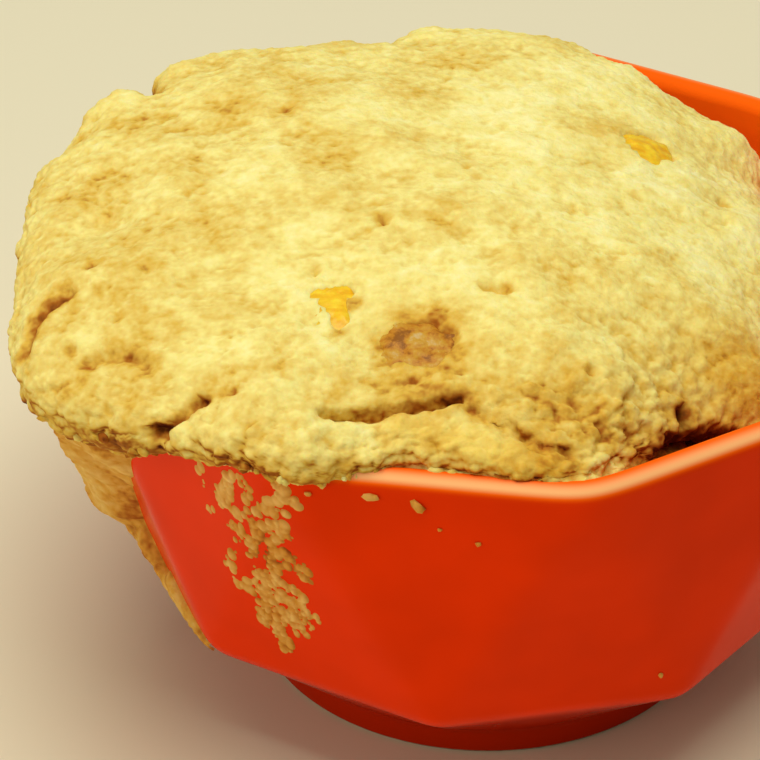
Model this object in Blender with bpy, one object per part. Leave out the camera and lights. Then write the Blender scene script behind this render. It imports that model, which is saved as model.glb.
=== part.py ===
"""A mug cake in its bowl: a sponge that rose in a nine-sided faceted bowl, ran over the rim on one side and
pulled away from the wall on the other, with two bits of yellow fruit and a browned lump set in its top.

Metres, +Z up. The origin is the middle of the bowl's flat foot, and -Y is the front. Angles go round the bowl
from the front towards +X, so -90 degrees is the left side.
"""

import math

import bmesh
import bpy
import numpy as np

TURN = 2 * math.pi
MM = 0.001

# Bowl: nine sides at the rim, and nine at a lower edge that is turned half a side, joined by flat triangles.
SIDES = 9
SIDE_ANGLE = TURN / SIDES
FIRST_CORNER = math.radians(11)  # the rim corner just right of the front
RIM_RADIUS = 0.0600  # to a rim corner
LOWER_RADIUS = 0.0505  # to a corner of the lower edge
RIM_HEIGHT = 0.0626
LOWER_HEIGHT = 0.0185
WALL = 0.0038
FLOOR_HEIGHT = 0.0065
FOOT_RADIUS = 0.0330
FOOT_HEIGHT = 0.0040
FOOT_BEVEL = 0.0008
EDGE_ROUND = 0.0014  # at the lower edge
CREASE_POWER = 200  # the higher, the sharper the creases between the facets
RIM_POWER = 65  # the corners are rounder at the rim
ROUNDER_FROM = 0.6  # share of the sides' height where they start to get rounder
STEPS_A_SIDE = 8
LIP_STEPS = 6
UNDERSIDE_RINGS = (0.35, 0.7)  # share of the way from the foot to the lower edge
OUTER_RINGS = 4  # up the outside of the sides
INNER_RINGS = (0.045, 0.028)  # heights, down the inside of the sides
ROUND_TO_FLOOR = ((0.93, 0.0175), (0.80, 0.0115), (0.64, 0.0080))  # share of the inside's radius, and height
FLOOR_RADIUS = 0.0231
GAP = 0.0003  # between the bowl, the cake and what is set in it

# Cake. CROWN is the top of the dome: how far it lies off the bowl's middle and over the rim.
CROWN_X, CROWN_Y, CROWN_RISE = -0.0040, 0.0020, 0.0110
CROWN_BLEND = 1.5  # how late, on the way up, the dome moves over to the crown
DOME_POWER = 2.1  # of the superellipse from the widest point to the crown
UNDERCUT = 0.16  # share of the way from the wall to the crown that lies under the widest point
EDGE_UP = 0.0008  # the widest point, over the place where the cake meets the wall
SPILLED_UP = 0.6  # and where it hangs outside, how far up the drop from the rim it lies as well
SPILL = (-0.0020, 0.0030)  # reach past the rim where the cake starts to count as hanging outside, and does
CELLS = 52  # across the cake's top, both ways
TOWARDS_EDGE = 1.2  # above 1 the cells are smaller towards the wall
EDGE_FADE = 0.05  # share of the way to the crown over which the relief fades in from the wall

# Rings inside the bowl's wall that the top is closed by: share of the wall's radius, and height.
BELOW_TOP = ((1.0, 0.040), (1.0, LOWER_HEIGHT), (0.87, 0.0130), (0.76, 0.0090), (0.58, 0.0050))

# How far the cake's widest point stands out past the rim, in mm, round the bowl. Negative is inside the rim.
REACH_MM = (
    (-180, -2.8), (-165, -1.0), (-149, 2.2), (-138, 6.0), (-126, 7.8), (-109, 8.2), (-90, 8.2), (-69, 9.0),
    (-58, 9.6), (-48, 6.5), (-38, 3.2), (-29, 2.2), (-22, 1.2), (-17, -0.6), (-8, -3.2), (0, -3.5),
    (18, -4.0), (25, -6.6), (34, -7.8), (60, -10.5), (90, -11.6), (115, -10.5), (132, -7.8), (142, -6.0),
    (155, -4.6), (168, -3.8),
)
# How far below the rim's top the cake meets the wall, outside it or inside, in mm.
DROP_MM = (
    (-180, 0.6), (-165, 1.6), (-149, 3.0), (-129, 4.5), (-109, 6.0), (-90, 8.0), (-69, 10.0), (-58, 11.0),
    (-48, 8.0), (-38, 4.8), (-29, 3.0), (-22, 1.7), (-17, 0.7), (-8, 0.8), (0, 1.0), (18, 1.6), (25, 5.0),
    (34, 9.0), (60, 13.0), (90, 14.0), (115, 13.5), (135, 11.0), (148, 6.5), (158, 2.6), (168, 0.6),
)

# Batter that ran down the outside and baked on: (angle, height in mm, half width in mm) from the lip down.
FRONT_RUN = (
    (-33.5, 60.0, 3.4),
    (-32.0, 53.0, 2.6),
    (-33.0, 45.0, 3.2),
    (-31.5, 37.5, 4.4),
    (-32.8, 31.0, 3.8),
    (-33.6, 25.0, 2.4),
)
SIDE_RUN = ((-40.5, 58.5, 2.8), (-39.5, 52.5, 2.0), (-37.0, 47.5, 1.7), (-34.5, 42.0, 1.6))
LEFT_RUN = (
    (-65.0, 56.0, 9.5),
    (-71.0, 47.0, 8.5),
    (-77.0, 37.0, 7.0),
    (-81.0, 29.0, 6.0),
    (-83.0, 23.0, 4.5),
)
THICKNESS = {"front_run": 0.0011, "side_run": 0.0009, "left_run": 0.0050}
RUN_EDGE = 0.0003  # thickness along a run's sides
RUN_STEPS, RUN_POINTS = 4, 7  # between two stations, and across
RUN_UNEVEN = 0.3
RUN_LUMPS = 0.0040  # spacing of the lumps along a run
RUN_END = 0.6  # stations over which a run narrows to its end

# What is set in the top: place (x, y) in mm, size in mm, how far its middle lies under the surface in mm, and
# its turn in degrees.
FRUIT = {
    "fruit_front": ((-21.2, -29.4), (6.4, 5.4, 5.0), 1.5, 35),
    "fruit_back": ((22.6, 12.0), (6.6, 5.0, 5.0), 1.6, -20),
}
BROWNED = ((-10.2, -36.2), (9.6, 7.8, 5.0), 1.2, 5)
BLOCK_POWER = 3.2  # the higher, the squarer the blocks
BLOCK_UNEVEN = 0.09
BLOCK_LUMPS = 0.65  # spacing of their lumps, as a share of half the block

# Relief of the top. Paths are (x, y, height over the rim) in mm.
CREVICE = ((-23.5, -48, 5.0), (-17, -49, 4.8), (-11, -47.5, 5.2), (-5, -45.6, 5.7), (-2, -45.2, 6.0))
BROW = ((-24, -44.8, 6.4), (-12, -44.2, 6.8), (-4, -42.4, 7.2))
LIP = ((-41, -45.5, -1), (-33, -49, 1.5), (-22, -52, 2.5), (-10, -52.5, 2.2), (3, -54, 1.2))
STEP = ((-46, -46, -4.0), (-42.5, -44.2, -0.2), (-39.5, -43.8, 1.6), (-37.5, -42.8, 3.2), (-34, -43, 4.4))
LOBE = ((-60, -28, -2), (-54, -38, -2), (-48, -42, -1))
LEFT_CRACK = ((-61.5, -26.5, -0.6), (-60.2, -22.2, 1.8), (-58.8, -20, 3.0), (-54, -17.5, 5.0))
GOLD = ((-7, -50, 3.4), (-1, -52, 2.4), (6, -54, 1.2))
WALL_GAP = ((23.5, -45.5, 2.2), (25.0, -46.5, 0.2), (31, -42.5, -1.5))
FORMS = (  # path, width and height in mm; grooves have negative heights
    (CREVICE, 1.7, -4.2),
    (STEP, 1.6, -2.2),
    (LEFT_CRACK, 1.6, -1.5),
    (WALL_GAP, 2.0, -5.5),
    (LIP, 2.6, 1.1),
    (LOBE, 4.0, 1.0),
    (GOLD, 2.4, 1.5),
)
BROW_WIDTH, BROW_LEAN = 2.6, (0.0, -2.0, 0.3)  # mm
LUMPS = ((0.0170, 1.05), (0.0075, 0.50), (0.0035, 0.25))  # spacing in m, and height in mm
SHAKE_SPACING, SHAKE = 0.0060, 0.0011  # how the places of the forms are shaken
TORN = (13, -48.5, 9, 4.5)  # the coarse patch at the front: place in plan and widths in mm
TORN_DEPTH, TORN_ROUGH = 2.0, 1.1  # mm
DENTS = (  # place in plan, width, depth, in mm
    (-48.5, 36.0, 2.6, 1.8),
    (32.0, 2.5, 3.0, 1.0),
    (-53.5, -1.3, 4.5, 1.1),
    (0.6, -26.2, 1.8, 1.0),
    (-14.6, -11.1, 1.8, 0.7),
    (-10.2, -36.2, 5.0, 0.9),
)


def clear_scene():
    for item in list(bpy.data.objects):
        bpy.data.objects.remove(item)


def material(name, rgb, roughness):
    finish = bpy.data.materials.new(name)
    finish.use_nodes = True
    shader = finish.node_tree.nodes["Principled BSDF"]
    shader.inputs["Base Color"].default_value = (*rgb, 1)
    shader.inputs["Roughness"].default_value = roughness
    return finish


def mesh_object(name, points, faces, finish):
    """An object whose faces are shaded smooth, and flat across edges sharper than 40 degrees."""
    mesh = bpy.data.meshes.new(name)
    mesh.from_pydata(points.tolist(), [], faces)
    mesh.validate()
    mesh.materials.append(finish)
    mesh.shade_smooth()
    mesh.set_sharp_from_angle(angle=math.radians(40))
    item = bpy.data.objects.new(name, mesh)
    bpy.context.scene.collection.objects.link(item)
    return item


def combine(item, others, operation):
    """Applies one Boolean of item with the others, which are then removed."""
    tools = bpy.data.collections.new("tools")
    for other in others:
        bpy.context.scene.collection.objects.unlink(other)
        tools.objects.link(other)
    bpy.context.scene.collection.children.link(tools)
    boolean = item.modifiers.new("boolean", "BOOLEAN")
    boolean.operation = operation
    boolean.operand_type = "COLLECTION"
    boolean.collection = tools
    boolean.solver = "EXACT"
    with bpy.context.temp_override(object=item, active_object=item, selected_objects=[item]):
        bpy.ops.object.modifier_apply(modifier=boolean.name)
    for other in list(tools.objects):
        bpy.data.objects.remove(other)
    bpy.data.collections.remove(tools)


def smooth_step(t):
    t = np.clip(t, 0, 1)
    return t * t * (3 - 2 * t)


def around(angle, keys):
    """A smooth curve once round the bowl through (degrees, millimetres) keys, in metres."""
    at = np.radians([key[0] for key in keys])
    value = np.array([key[1] for key in keys]) * MM
    at = np.concatenate([at - TURN, at, at + TURN])
    value = np.tile(value, 3)
    slope = np.gradient(value, at)
    angle = np.mod(angle + math.pi, TURN) - math.pi
    i = np.searchsorted(at, angle) - 1
    span = at[i + 1] - at[i]
    t = (angle - at[i]) / span
    start = (1 + 2 * t) * (1 - t) ** 2 * value[i] + t * (1 - t) ** 2 * span * slope[i]
    end = t * t * (3 - 2 * t) * value[i + 1] - t * t * (1 - t) * span * slope[i + 1]
    return start + end


def lattice_noise(points, cell, seed):
    """Smooth noise from -1 to 1, blended between fixed random values at the corners of cubes of side cell."""
    scaled = points / cell
    base = np.floor(scaled).astype(np.int64)
    part = smooth_step(scaled - base)
    total = np.zeros(points.shape[:-1])
    for corner in np.ndindex(2, 2, 2):
        x, y, z = np.moveaxis(base + corner, -1, 0)
        mixed = (x * 73856093) ^ (y * 19349663) ^ (z * 83492791) ^ (seed * 668265263)
        mixed = ((mixed ^ (mixed >> 13)) * 1274126177) & 0x7FFFFFFF
        value = ((mixed ^ (mixed >> 16)) & 0xFFFF) / 32767.5 - 1
        total += value * np.prod(np.where(corner, part, 1 - part), axis=-1)
    return total


def wall_radius(angle, height, inset=0.0):
    """Distance from the axis to the faceted wall. Each facet is a plane whose distance from the axis changes
    evenly with height, and the wall is the nearest of them, rounded where they meet by a power mean."""
    up = np.clip((height - LOWER_HEIGHT) / (RIM_HEIGHT - LOWER_HEIGHT), 0, 1)
    flat = math.cos(SIDE_ANGLE / 2)
    below_side = LOWER_RADIUS + (RIM_RADIUS * flat - LOWER_RADIUS) * up - inset
    below_corner = LOWER_RADIUS * flat + (RIM_RADIUS - LOWER_RADIUS * flat) * up - inset
    rounder = smooth_step((up - ROUNDER_FROM) / (1 - ROUNDER_FROM))
    power = CREASE_POWER + (RIM_POWER - CREASE_POWER) * rounder
    total = 0
    for side in range(SIDES):
        corner = FIRST_CORNER + side * SIDE_ANGLE
        for facing, distance in ((corner + SIDE_ANGLE / 2, below_side), (corner, below_corner)):
            total = total + (np.maximum(np.cos(angle - facing), 0) * RIM_RADIUS / distance) ** power
    return RIM_RADIUS * total ** (-1 / power)


def polar(radius, angle, height):
    return np.stack([radius * np.sin(angle), -radius * np.cos(angle), height + 0 * radius], -1)


def bowl_rings(grow):
    """The bowl's surface as rings from the middle of its underside, over the rim, to the middle of its floor,
    moved outwards by grow."""
    angle = FIRST_CORNER + np.arange(SIDES * STEPS_A_SIDE) * SIDE_ANGLE / STEPS_A_SIDE
    low = wall_radius(angle, LOWER_HEIGHT)
    round_foot = np.full_like(angle, FOOT_RADIUS)
    yield polar(round_foot - FOOT_BEVEL + grow, angle, -grow)
    yield polar(round_foot + grow, angle, FOOT_BEVEL)
    yield polar(round_foot + grow, angle, FOOT_HEIGHT)
    for share in UNDERSIDE_RINGS:
        height = FOOT_HEIGHT + share * (LOWER_HEIGHT - EDGE_ROUND - FOOT_HEIGHT)
        yield polar(round_foot + share * (low - EDGE_ROUND - round_foot) + grow, angle, height)
    yield polar(low - EDGE_ROUND + grow, angle, LOWER_HEIGHT - EDGE_ROUND)
    yield polar(low - EDGE_ROUND / 4 + grow, angle, LOWER_HEIGHT - EDGE_ROUND / 6)
    lip_height = RIM_HEIGHT - WALL / 2
    for height in np.linspace(LOWER_HEIGHT + EDGE_ROUND, lip_height, OUTER_RINGS + 1)[:-1]:
        yield polar(wall_radius(angle, height) + grow, angle, height)
    lip_middle = wall_radius(angle, lip_height) - WALL / 2
    for turn in np.linspace(0, math.pi, LIP_STEPS + 1):
        out = (WALL / 2 + grow) * math.cos(turn)
        yield polar(lip_middle + out, angle, lip_height + (WALL / 2 + grow) * math.sin(turn))
    for height in INNER_RINGS:
        yield polar(wall_radius(angle, height, WALL) - grow, angle, height)
    for share, height in ROUND_TO_FLOOR:
        yield polar((wall_radius(angle, LOWER_HEIGHT, WALL) - grow) * share, angle, height + grow)
    yield polar(np.full_like(angle, FLOOR_RADIUS), angle, FLOOR_HEIGHT + grow)


def closed_rings(name, rings, finish):
    """Rings joined by bands of triangles, with a flat face over the first and the last. All bands are split
    the same way, so that a shape and the same shape made larger stay evenly apart."""
    rings = list(rings)
    count = len(rings[0])
    bm = bmesh.new()
    loops = [[bm.verts.new(point) for point in ring] for ring in rings]
    for lower, upper in zip(loops, loops[1:]):
        for i in range(count):
            j = (i + 1) % count
            bm.faces.new((lower[i], lower[j], upper[j]))
            bm.faces.new((lower[i], upper[j], upper[i]))
    bm.faces.new(reversed(loops[0]))
    bm.faces.new(loops[-1])
    bm.verts.index_update()
    points = np.array([vert.co for vert in bm.verts])
    faces = [[vert.index for vert in face.verts] for face in bm.faces]
    bm.free()
    return mesh_object(name, points, faces, finish)


def dome(angle, share):
    """The cake's plain surface, for a share of 0 where it meets the wall to 1 at the crown: a quarter ellipse
    from the wall out to the widest point, then a superellipse up to the crown."""
    reach = around(angle, REACH_MM)
    start_height = RIM_HEIGHT - around(angle, DROP_MM)
    start = wall_radius(angle, start_height, WALL / 2)
    widest = wall_radius(angle, RIM_HEIGHT + 0 * angle) + reach
    spilled = smooth_step((reach - SPILL[0]) / (SPILL[1] - SPILL[0]))
    widest_height = start_height + EDGE_UP + spilled * SPILLED_UP * (RIM_HEIGHT - start_height)
    lower = np.clip(share / UNDERCUT, 0, 1) * math.pi / 2
    upper = np.clip((share - UNDERCUT) / (1 - UNDERCUT), 0, 1)
    rising = upper * math.pi / 2
    crown = RIM_HEIGHT + CROWN_RISE
    under = share < UNDERCUT
    flat = np.cos(rising) ** (2 / DOME_POWER)
    steep = np.sin(rising) ** (2 / DOME_POWER)
    radius = np.where(under, start + (widest - start) * np.sin(lower), widest * flat)
    height = np.where(
        under,
        widest_height + (start_height - widest_height) * np.cos(lower),
        widest_height + (crown - widest_height) * steep,
    )
    points = polar(radius, angle, height)
    points[..., 0] += CROWN_X * upper**CROWN_BLEND
    points[..., 1] += CROWN_Y * upper**CROWN_BLEND
    return points


def near_path(points, path_mm, width_mm):
    """1 on a path of straight stretches, falling to 0 over a few widths to either side. The path's heights
    are counted from the rim."""
    path = np.array(path_mm) * MM + (0, 0, RIM_HEIGHT)
    nearest = np.full(points.shape[:-1], np.inf)
    for a, b in zip(path, path[1:]):
        along = np.clip(((points - a) @ (b - a)) / ((b - a) @ (b - a)), 0, 1)
        nearest = np.minimum(nearest, np.linalg.norm(points - a - along[..., None] * (b - a), axis=-1))
    return np.exp(-((nearest / (width_mm * MM)) ** 2))


def near_spot(points, x_mm, y_mm, width_mm, depth_mm=None):
    """1 at a place in plan, falling to 0 over an ellipse of these widths along X and Y."""
    across = (points[..., 0] / MM - x_mm) / width_mm
    along = (points[..., 1] / MM - y_mm) / (depth_mm or width_mm)
    return np.exp(-(across**2) - along**2)


def relief(plain, normals):
    """How far the dome's plain points move, in metres: the lumps, then the forms seen on the top, whose places
    are shaken a little so that no edge of them is straight. They move along the surface's normal, and the brow
    over the crevice also leans out to the front."""
    shake = [lattice_noise(plain, SHAKE_SPACING, seed) for seed in (31, 32, 33)]
    points = plain + SHAKE * np.stack(shake, -1)
    torn = near_spot(points, *TORN)
    move = (TORN_ROUGH * lattice_noise(plain, LUMPS[-1][0], 3) - TORN_DEPTH) * torn
    for seed, (spacing, height) in enumerate(LUMPS, start=1):
        move += height * lattice_noise(plain, spacing, seed)
    for path, width, height in FORMS:
        move += height * near_path(points, path, width)
    for x, y, width, depth in DENTS:
        move -= depth * near_spot(points, x, y, width)
    brow = near_path(points, BROW, BROW_WIDTH)
    return MM * (move[..., None] * normals + brow[..., None] * np.array(BROW_LEAN))


def square_to_disc(cells):
    """Angle and share of the way in from the edge, for a square grid laid over a disc so that its squares
    keep about one size: a square ring of the grid becomes a ring of the disc."""
    across, along = np.meshgrid(np.linspace(-1, 1, cells + 1), np.linspace(-1, 1, cells + 1), indexing="ij")
    edge = np.maximum(np.maximum(abs(across), abs(along)), 1e-9)
    sideways = abs(across) > abs(along)
    wide = math.pi / 4 * along / np.where(sideways, across, 1) + np.where(across < 0, math.pi, 0)
    deep = math.pi / 2 - math.pi / 4 * across / np.where(sideways, 1, np.where(along == 0, 1, along))
    deep = deep + np.where(along < 0, math.pi, 0)
    return np.where(sideways, wide, deep), (1 - edge) ** TOWARDS_EDGE


def surface_normals(points):
    across, along = np.gradient(points, axis=(0, 1))
    normals = np.cross(across, along)
    return normals / np.maximum(np.linalg.norm(normals, axis=-1, keepdims=True), 1e-12)


def cake_top():
    """The relief fades out at the wall, where the top's edge stays inside the wall's thickness."""
    angle, share = square_to_disc(CELLS)
    plain = dome(angle, share)
    return angle, plain + relief(plain, surface_normals(plain)) * smooth_step(share / EDGE_FADE)[..., None]


def split_short(points, index):
    """Two triangles for each square of a grid, split along its shorter diagonal."""
    a, b, c, d = index[:-1, :-1], index[1:, :-1], index[1:, 1:], index[:-1, 1:]
    first = np.linalg.norm(points[a] - points[c], axis=-1) < np.linalg.norm(points[b] - points[d], axis=-1)
    one = np.where(first[..., None], np.stack([a, b, c], -1), np.stack([a, b, d], -1))
    two = np.where(first[..., None], np.stack([a, c, d], -1), np.stack([b, c, d], -1))
    return np.concatenate([one.reshape(-1, 3), two.reshape(-1, 3)])


def edge_loop(cells):
    """Row and column of each point on the grid's edge, in order round it."""
    side = np.arange(cells)
    low, high = np.zeros(cells, int), np.full(cells, cells)
    return np.concatenate([side, high, cells - side, low]), np.concatenate([low, side, high, cells - side])


def cake_body(finish):
    """The top, closed below by rings that run down inside the bowl's wall and by a flat face. Cutting the
    bowl's own shape out of it then leaves the part inside the bowl joined to what hangs over the rim."""
    angle, top = cake_top()
    count = CELLS + 1
    index = np.arange(count * count).reshape(count, count)
    faces = split_short(top.reshape(-1, 3), index).tolist()
    rows, columns = edge_loop(CELLS)
    loop = index[rows, columns]
    turned = angle[rows, columns]
    points = [top.reshape(-1, 3)]
    total = count * count
    for share, height in BELOW_TOP:
        points.append(polar(wall_radius(turned, height, WALL / 2) * share, turned, height))
    for _ in BELOW_TOP:
        lower = np.arange(total, total + len(loop))
        total += len(loop)
        faces += np.stack([lower, np.roll(lower, -1), np.roll(loop, -1), loop], -1).tolist()
        loop = lower
    faces.append(loop[::-1].tolist())
    return mesh_object("cake", np.concatenate(points), faces, finish)


def run_down(name, stations, finish):
    """A strip along the outside of the wall, GAP off it: flat behind, rounded and lumpy in front."""
    keys = np.array(stations)
    steps = RUN_STEPS * (len(keys) - 1)
    t = np.linspace(0, len(keys) - 1, steps + 1)
    middle, height, half = (np.interp(t, np.arange(len(keys)), keys[:, i]) for i in range(3))
    ending = np.sqrt(np.clip((t[-1] - t) / RUN_END, 0.02, 1))
    centre = polar(RIM_RADIUS, np.radians(middle), height * MM)
    half = half * ending * (1 + RUN_UNEVEN * lattice_noise(centre, RUN_LUMPS, 5))
    side = np.linspace(-1, 1, RUN_POINTS)
    height = height[:, None] * MM + 0 * side
    angle = np.radians(middle)[:, None] + side * (half[:, None] * MM) / RIM_RADIUS
    back = wall_radius(angle, height) + GAP
    uneven = 1 + RUN_UNEVEN * lattice_noise(polar(back, angle, height), RUN_LUMPS, 6)
    front = back + RUN_EDGE + THICKNESS[name] * ending[:, None] * uneven * (1 - side**2) ** 0.7
    rings = []
    for i in range(steps + 1):
        outer = polar(front[i], angle[i], height[i])
        inner = polar(back[i], angle[i], height[i])
        rings.append(np.concatenate([outer, inner[::-1]]))
    return closed_rings(name, rings[::-1], finish)


def lump(name, place_mm, size_mm, sunk_mm, turn_degrees, seed, finish, grow=0.0):
    """A rounded block: a ball pushed out towards a box, made uneven and set under the surface."""
    size = np.array(size_mm) * MM / 2
    bm = bmesh.new()
    bmesh.ops.create_icosphere(bm, subdivisions=3, radius=1)
    points = np.array([vert.co for vert in bm.verts])
    faces = [[vert.index for vert in face.verts] for face in bm.faces]
    bm.free()
    boxy = points / np.sum(abs(points) ** BLOCK_POWER, axis=-1, keepdims=True) ** (1 / BLOCK_POWER)
    uneven = 1 + BLOCK_UNEVEN * lattice_noise(boxy, BLOCK_LUMPS, seed)[:, None]
    points = boxy * uneven * (size + grow)
    turn = math.radians(turn_degrees)
    x, y, z = points.T
    ahead, aside = math.cos(turn), math.sin(turn)
    turned = np.stack([x * ahead - y * aside, x * aside + y * ahead, z], -1)
    middle = np.array([place_mm[0] * MM, place_mm[1] * MM, surface_height(place_mm) - sunk_mm * MM])
    return mesh_object(name, turned + middle, faces, finish)


def surface_height(place_mm):
    """Height of the plain dome over a place in plan."""
    angle, share = square_to_disc(CELLS)
    points = dome(angle, share)
    away = np.hypot(points[..., 0] - place_mm[0] * MM, points[..., 1] - place_mm[1] * MM)
    away = np.where(share > UNDERCUT, away, 1)
    return points.reshape(-1, 3)[away.argmin()][2]


def build():
    clear_scene()
    glaze = material("red_orange_glazed_ceramic", (0.60, 0.045, 0.004), 0.15)
    sponge = material("golden_sponge_cake", (0.83, 0.62, 0.17), 0.75)
    fruit = material("yellow_fruit_flesh", (0.90, 0.52, 0.03), 0.30)
    browned = material("browned_fruit", (0.42, 0.20, 0.05), 0.45)

    closed_rings("bowl", bowl_rings(0.0), glaze)
    cake = cake_body(sponge)
    pieces = []
    for seed, (name, where) in enumerate(FRUIT.items(), start=11):
        lump(name, *where, seed, fruit)
        pieces.append(lump(name + "_pocket", *where, seed, fruit, GAP))
    lump("browned_piece", *BROWNED, 21, browned)
    pieces.append(lump("browned_pocket", *BROWNED, 21, browned, GAP))
    runs = [
        run_down("front_run", FRONT_RUN, sponge),
        run_down("side_run", SIDE_RUN, sponge),
        run_down("left_run", LEFT_RUN, sponge),
    ]
    combine(cake, runs, "UNION")
    combine(cake, [closed_rings("bowl_and_gap", bowl_rings(GAP), glaze)] + pieces, "DIFFERENCE")


build()
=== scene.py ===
"""Looks of a mug cake: a golden sponge that rose in a red-orange faceted bowl and ran over its rim.

Laid out as a Blender add-on and run as a script. Metres, +Z up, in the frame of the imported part: the origin
is the middle of the bowl's foot and -Y is the front. Angles go round the bowl from the front towards +X, so
-90 degrees is the left side.
"""

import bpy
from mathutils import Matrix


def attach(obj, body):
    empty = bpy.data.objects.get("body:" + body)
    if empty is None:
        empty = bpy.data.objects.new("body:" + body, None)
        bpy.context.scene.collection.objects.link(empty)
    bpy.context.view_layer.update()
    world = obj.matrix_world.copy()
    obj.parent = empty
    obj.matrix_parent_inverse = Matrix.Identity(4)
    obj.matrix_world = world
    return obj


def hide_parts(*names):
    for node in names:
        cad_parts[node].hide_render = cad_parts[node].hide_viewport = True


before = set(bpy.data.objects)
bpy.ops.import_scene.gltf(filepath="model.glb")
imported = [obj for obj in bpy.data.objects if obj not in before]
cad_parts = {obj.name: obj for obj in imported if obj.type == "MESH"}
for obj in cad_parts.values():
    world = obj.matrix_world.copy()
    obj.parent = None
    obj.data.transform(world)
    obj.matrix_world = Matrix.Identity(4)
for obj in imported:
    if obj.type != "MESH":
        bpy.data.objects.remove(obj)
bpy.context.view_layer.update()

import math

import bpy
import numpy as np
from bpy.props import FloatProperty, FloatVectorProperty, IntProperty, PointerProperty

bl_info = {
    "name": "Mug cake",
    "version": (1, 0, 0),
    "blender": (4, 5, 0),
    "location": "3D View > Sidebar > Mug cake",
    "description": "Dresses a mug cake and its faceted bowl for a studio render",
    "category": "Object",
}

TURN = 2 * math.pi
MM = 0.001
BODY = "root"

# Bowl, as in the solids: nine sides at the rim, and nine at a lower edge that is turned half a side.
SIDES = 9
SIDE_ANGLE = TURN / SIDES
FIRST_CORNER = math.radians(11)
RIM_RADIUS = 0.0600
LOWER_RADIUS = 0.0505
RIM_HEIGHT = 0.0626
LOWER_HEIGHT = 0.0185
WALL = 0.0038
FLOOR_HEIGHT = 0.0065
FLOOR_FLAT = 0.45  # share of the inside's radius over which the floor is flat
FOOT_RADIUS = 0.0330
FOOT_HEIGHT = 0.0040
FOOT_BEVEL = 0.0008
EDGE_ROUND = 0.0014
CREASE_POWER = 150  # lower is rounder: glaze fills the creases a little
RIM_POWER = 65  # and more at the rim
ROUNDER_FROM = 0.6  # share of the way up to the rim from which it does
BARE_RING = 0.0022  # width of the unglazed ring that the bowl was fired on
BARE_EDGE = 0.0004  # width over which the glaze ends there
BEVEL_FROM, BARE_TO = math.radians(18), math.radians(60)  # on the foot's bevel, counted from below
UNDERSIDE_SHADE_OVER = 0.0060  # height below the lower edge over which painted shade darkens the glaze
INSIDE_PALE = 0.30  # thin value down the inside, 1 at the palest: its lighter glaze is painted light
RIM_PALEST = math.radians(46)  # peak of the lip's thin glaze and painted highlight, from its outside
PALE_OUT, PALE_IN = math.radians(23), math.radians(38)  # spread of that pale band to either side

# Rings of the bowl's mesh, from under its foot round to its floor.
INNERMOST_RING = 0.0040  # radius
UNDER_RINGS, BARE_RINGS, BEVEL_RINGS, FOOT_RINGS, SLOPE_RINGS, EDGE_RINGS = 6, 4, 5, 5, 14, 7
WALL_RINGS, LIP_RINGS, INSIDE_RINGS, FLOOR_RINGS = 70, 25, 26, 12

# Cake, as in the solids, but its edge hangs a little less low at the front left. CROWN is the top of the
# dome: how far it lies off the bowl's middle and over the rim.
CROWN_X, CROWN_Y, CROWN_RISE = -0.0040, 0.0020, 0.0110
CROWN_BLEND = 1.5  # power: the dome leans towards its crown late on the way up
DOME_POWER = 2.1  # 2 is an ellipse, and more is squarer
UNDERCUT = 0.16  # share of the way in from the edge that lies under the widest point
EDGE_UP = 0.0008  # how far the widest point is over the edge, at least
SPILLED_UP = 0.6  # where the cake spilled, it is also this share of the way up to the rim
SPILL = (-0.0020, 0.0030)  # reach at which the cake starts to spill, and at which it has
TOWARDS_EDGE = 1.25  # power: mesh cells are narrower towards the edge
EDGE_FADE = 0.05  # share of the way in over which the forms begin
REACH_MM = (  # round the bowl: (degrees, how far the widest point stands out past the rim)
    (-180, -2.8), (-165, -1), (-149, 2.2), (-138, 6), (-126, 7.8), (-109, 8.2), (-90, 8.2), (-69, 9),
    (-58, 9.6), (-48, 6.4), (-38, 2.7), (-29, 1.5), (-23, 0.7), (-18, -1.8), (-12, -3.6), (-6, -4),
    (0, -4.1), (18, -4.6), (25, -6.6), (34, -7.8), (60, -10.5), (90, -11.6), (115, -10.5), (132, -7.8),
    (142, -6), (155, -4.6), (168, -3.8),
)
DROP_MM = (  # round the bowl: (degrees, how far below the rim the cake meets the wall)
    (-180, 0.6), (-165, 1.6), (-149, 3), (-129, 4.5), (-109, 6), (-90, 8), (-69, 10), (-58, 11),
    (-50, 8.4), (-46, 6.2), (-42, 4), (-38, 2.7), (-33, 2), (-29, 1.8), (-22, 1.5), (-17, 0.7), (-8, 0.8),
    (0, 1), (18, 1.6), (25, 5), (34, 9), (60, 13), (90, 14), (115, 13.5), (135, 11), (148, 6.5),
    (158, 2.6), (168, 0.6),
)

# Forms of the top. Paths are (x, y, height over the rim) in mm.
CREVICE = (
    (-22.2, -47.7, 5.1), (-19, -47.1, 5.2), (-16, -46.6, 5.2), (-12, -46.1, 5.3), (-8, -45.5, 5.4),
    (-5, -45, 5.6),
)
BROW = ((-22, -45.8, 5.8), (-17, -45.6, 5.6), (-13, -45, 5.8), (-9, -44.1, 6), (-6, -43, 6.4))
LIP = ((-41, -45.5, -1), (-33, -49, 1.5), (-22, -52, 2.5), (-10, -52.5, 2.2), (3, -54, 1.2))
LIP_FOOT = (
    (-34.5, -49.8, -1.2), (-28.6, -53.8, -0.3), (-25.1, -54.6, -0.2), (-21.6, -54.2, 0.3),
    (-19, -53.4, 1),
)
STEP = ((-43.2, -43.8, -0.4), (-41.5, -44.3, 0.5), (-39.5, -43.6, 2.2), (-37.6, -42.3, 3.6))
LOBE = ((-60, -28, -2), (-54, -38, -2), (-48, -42, -1))
LEFT_CRACK = (
    (-61.3, -26.2, 0), (-60.8, -24.3, 1.1), (-59.8, -22.2, 2.2), (-58.2, -20.6, 3.3), (-56, -19.4, 4.2),
)
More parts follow.
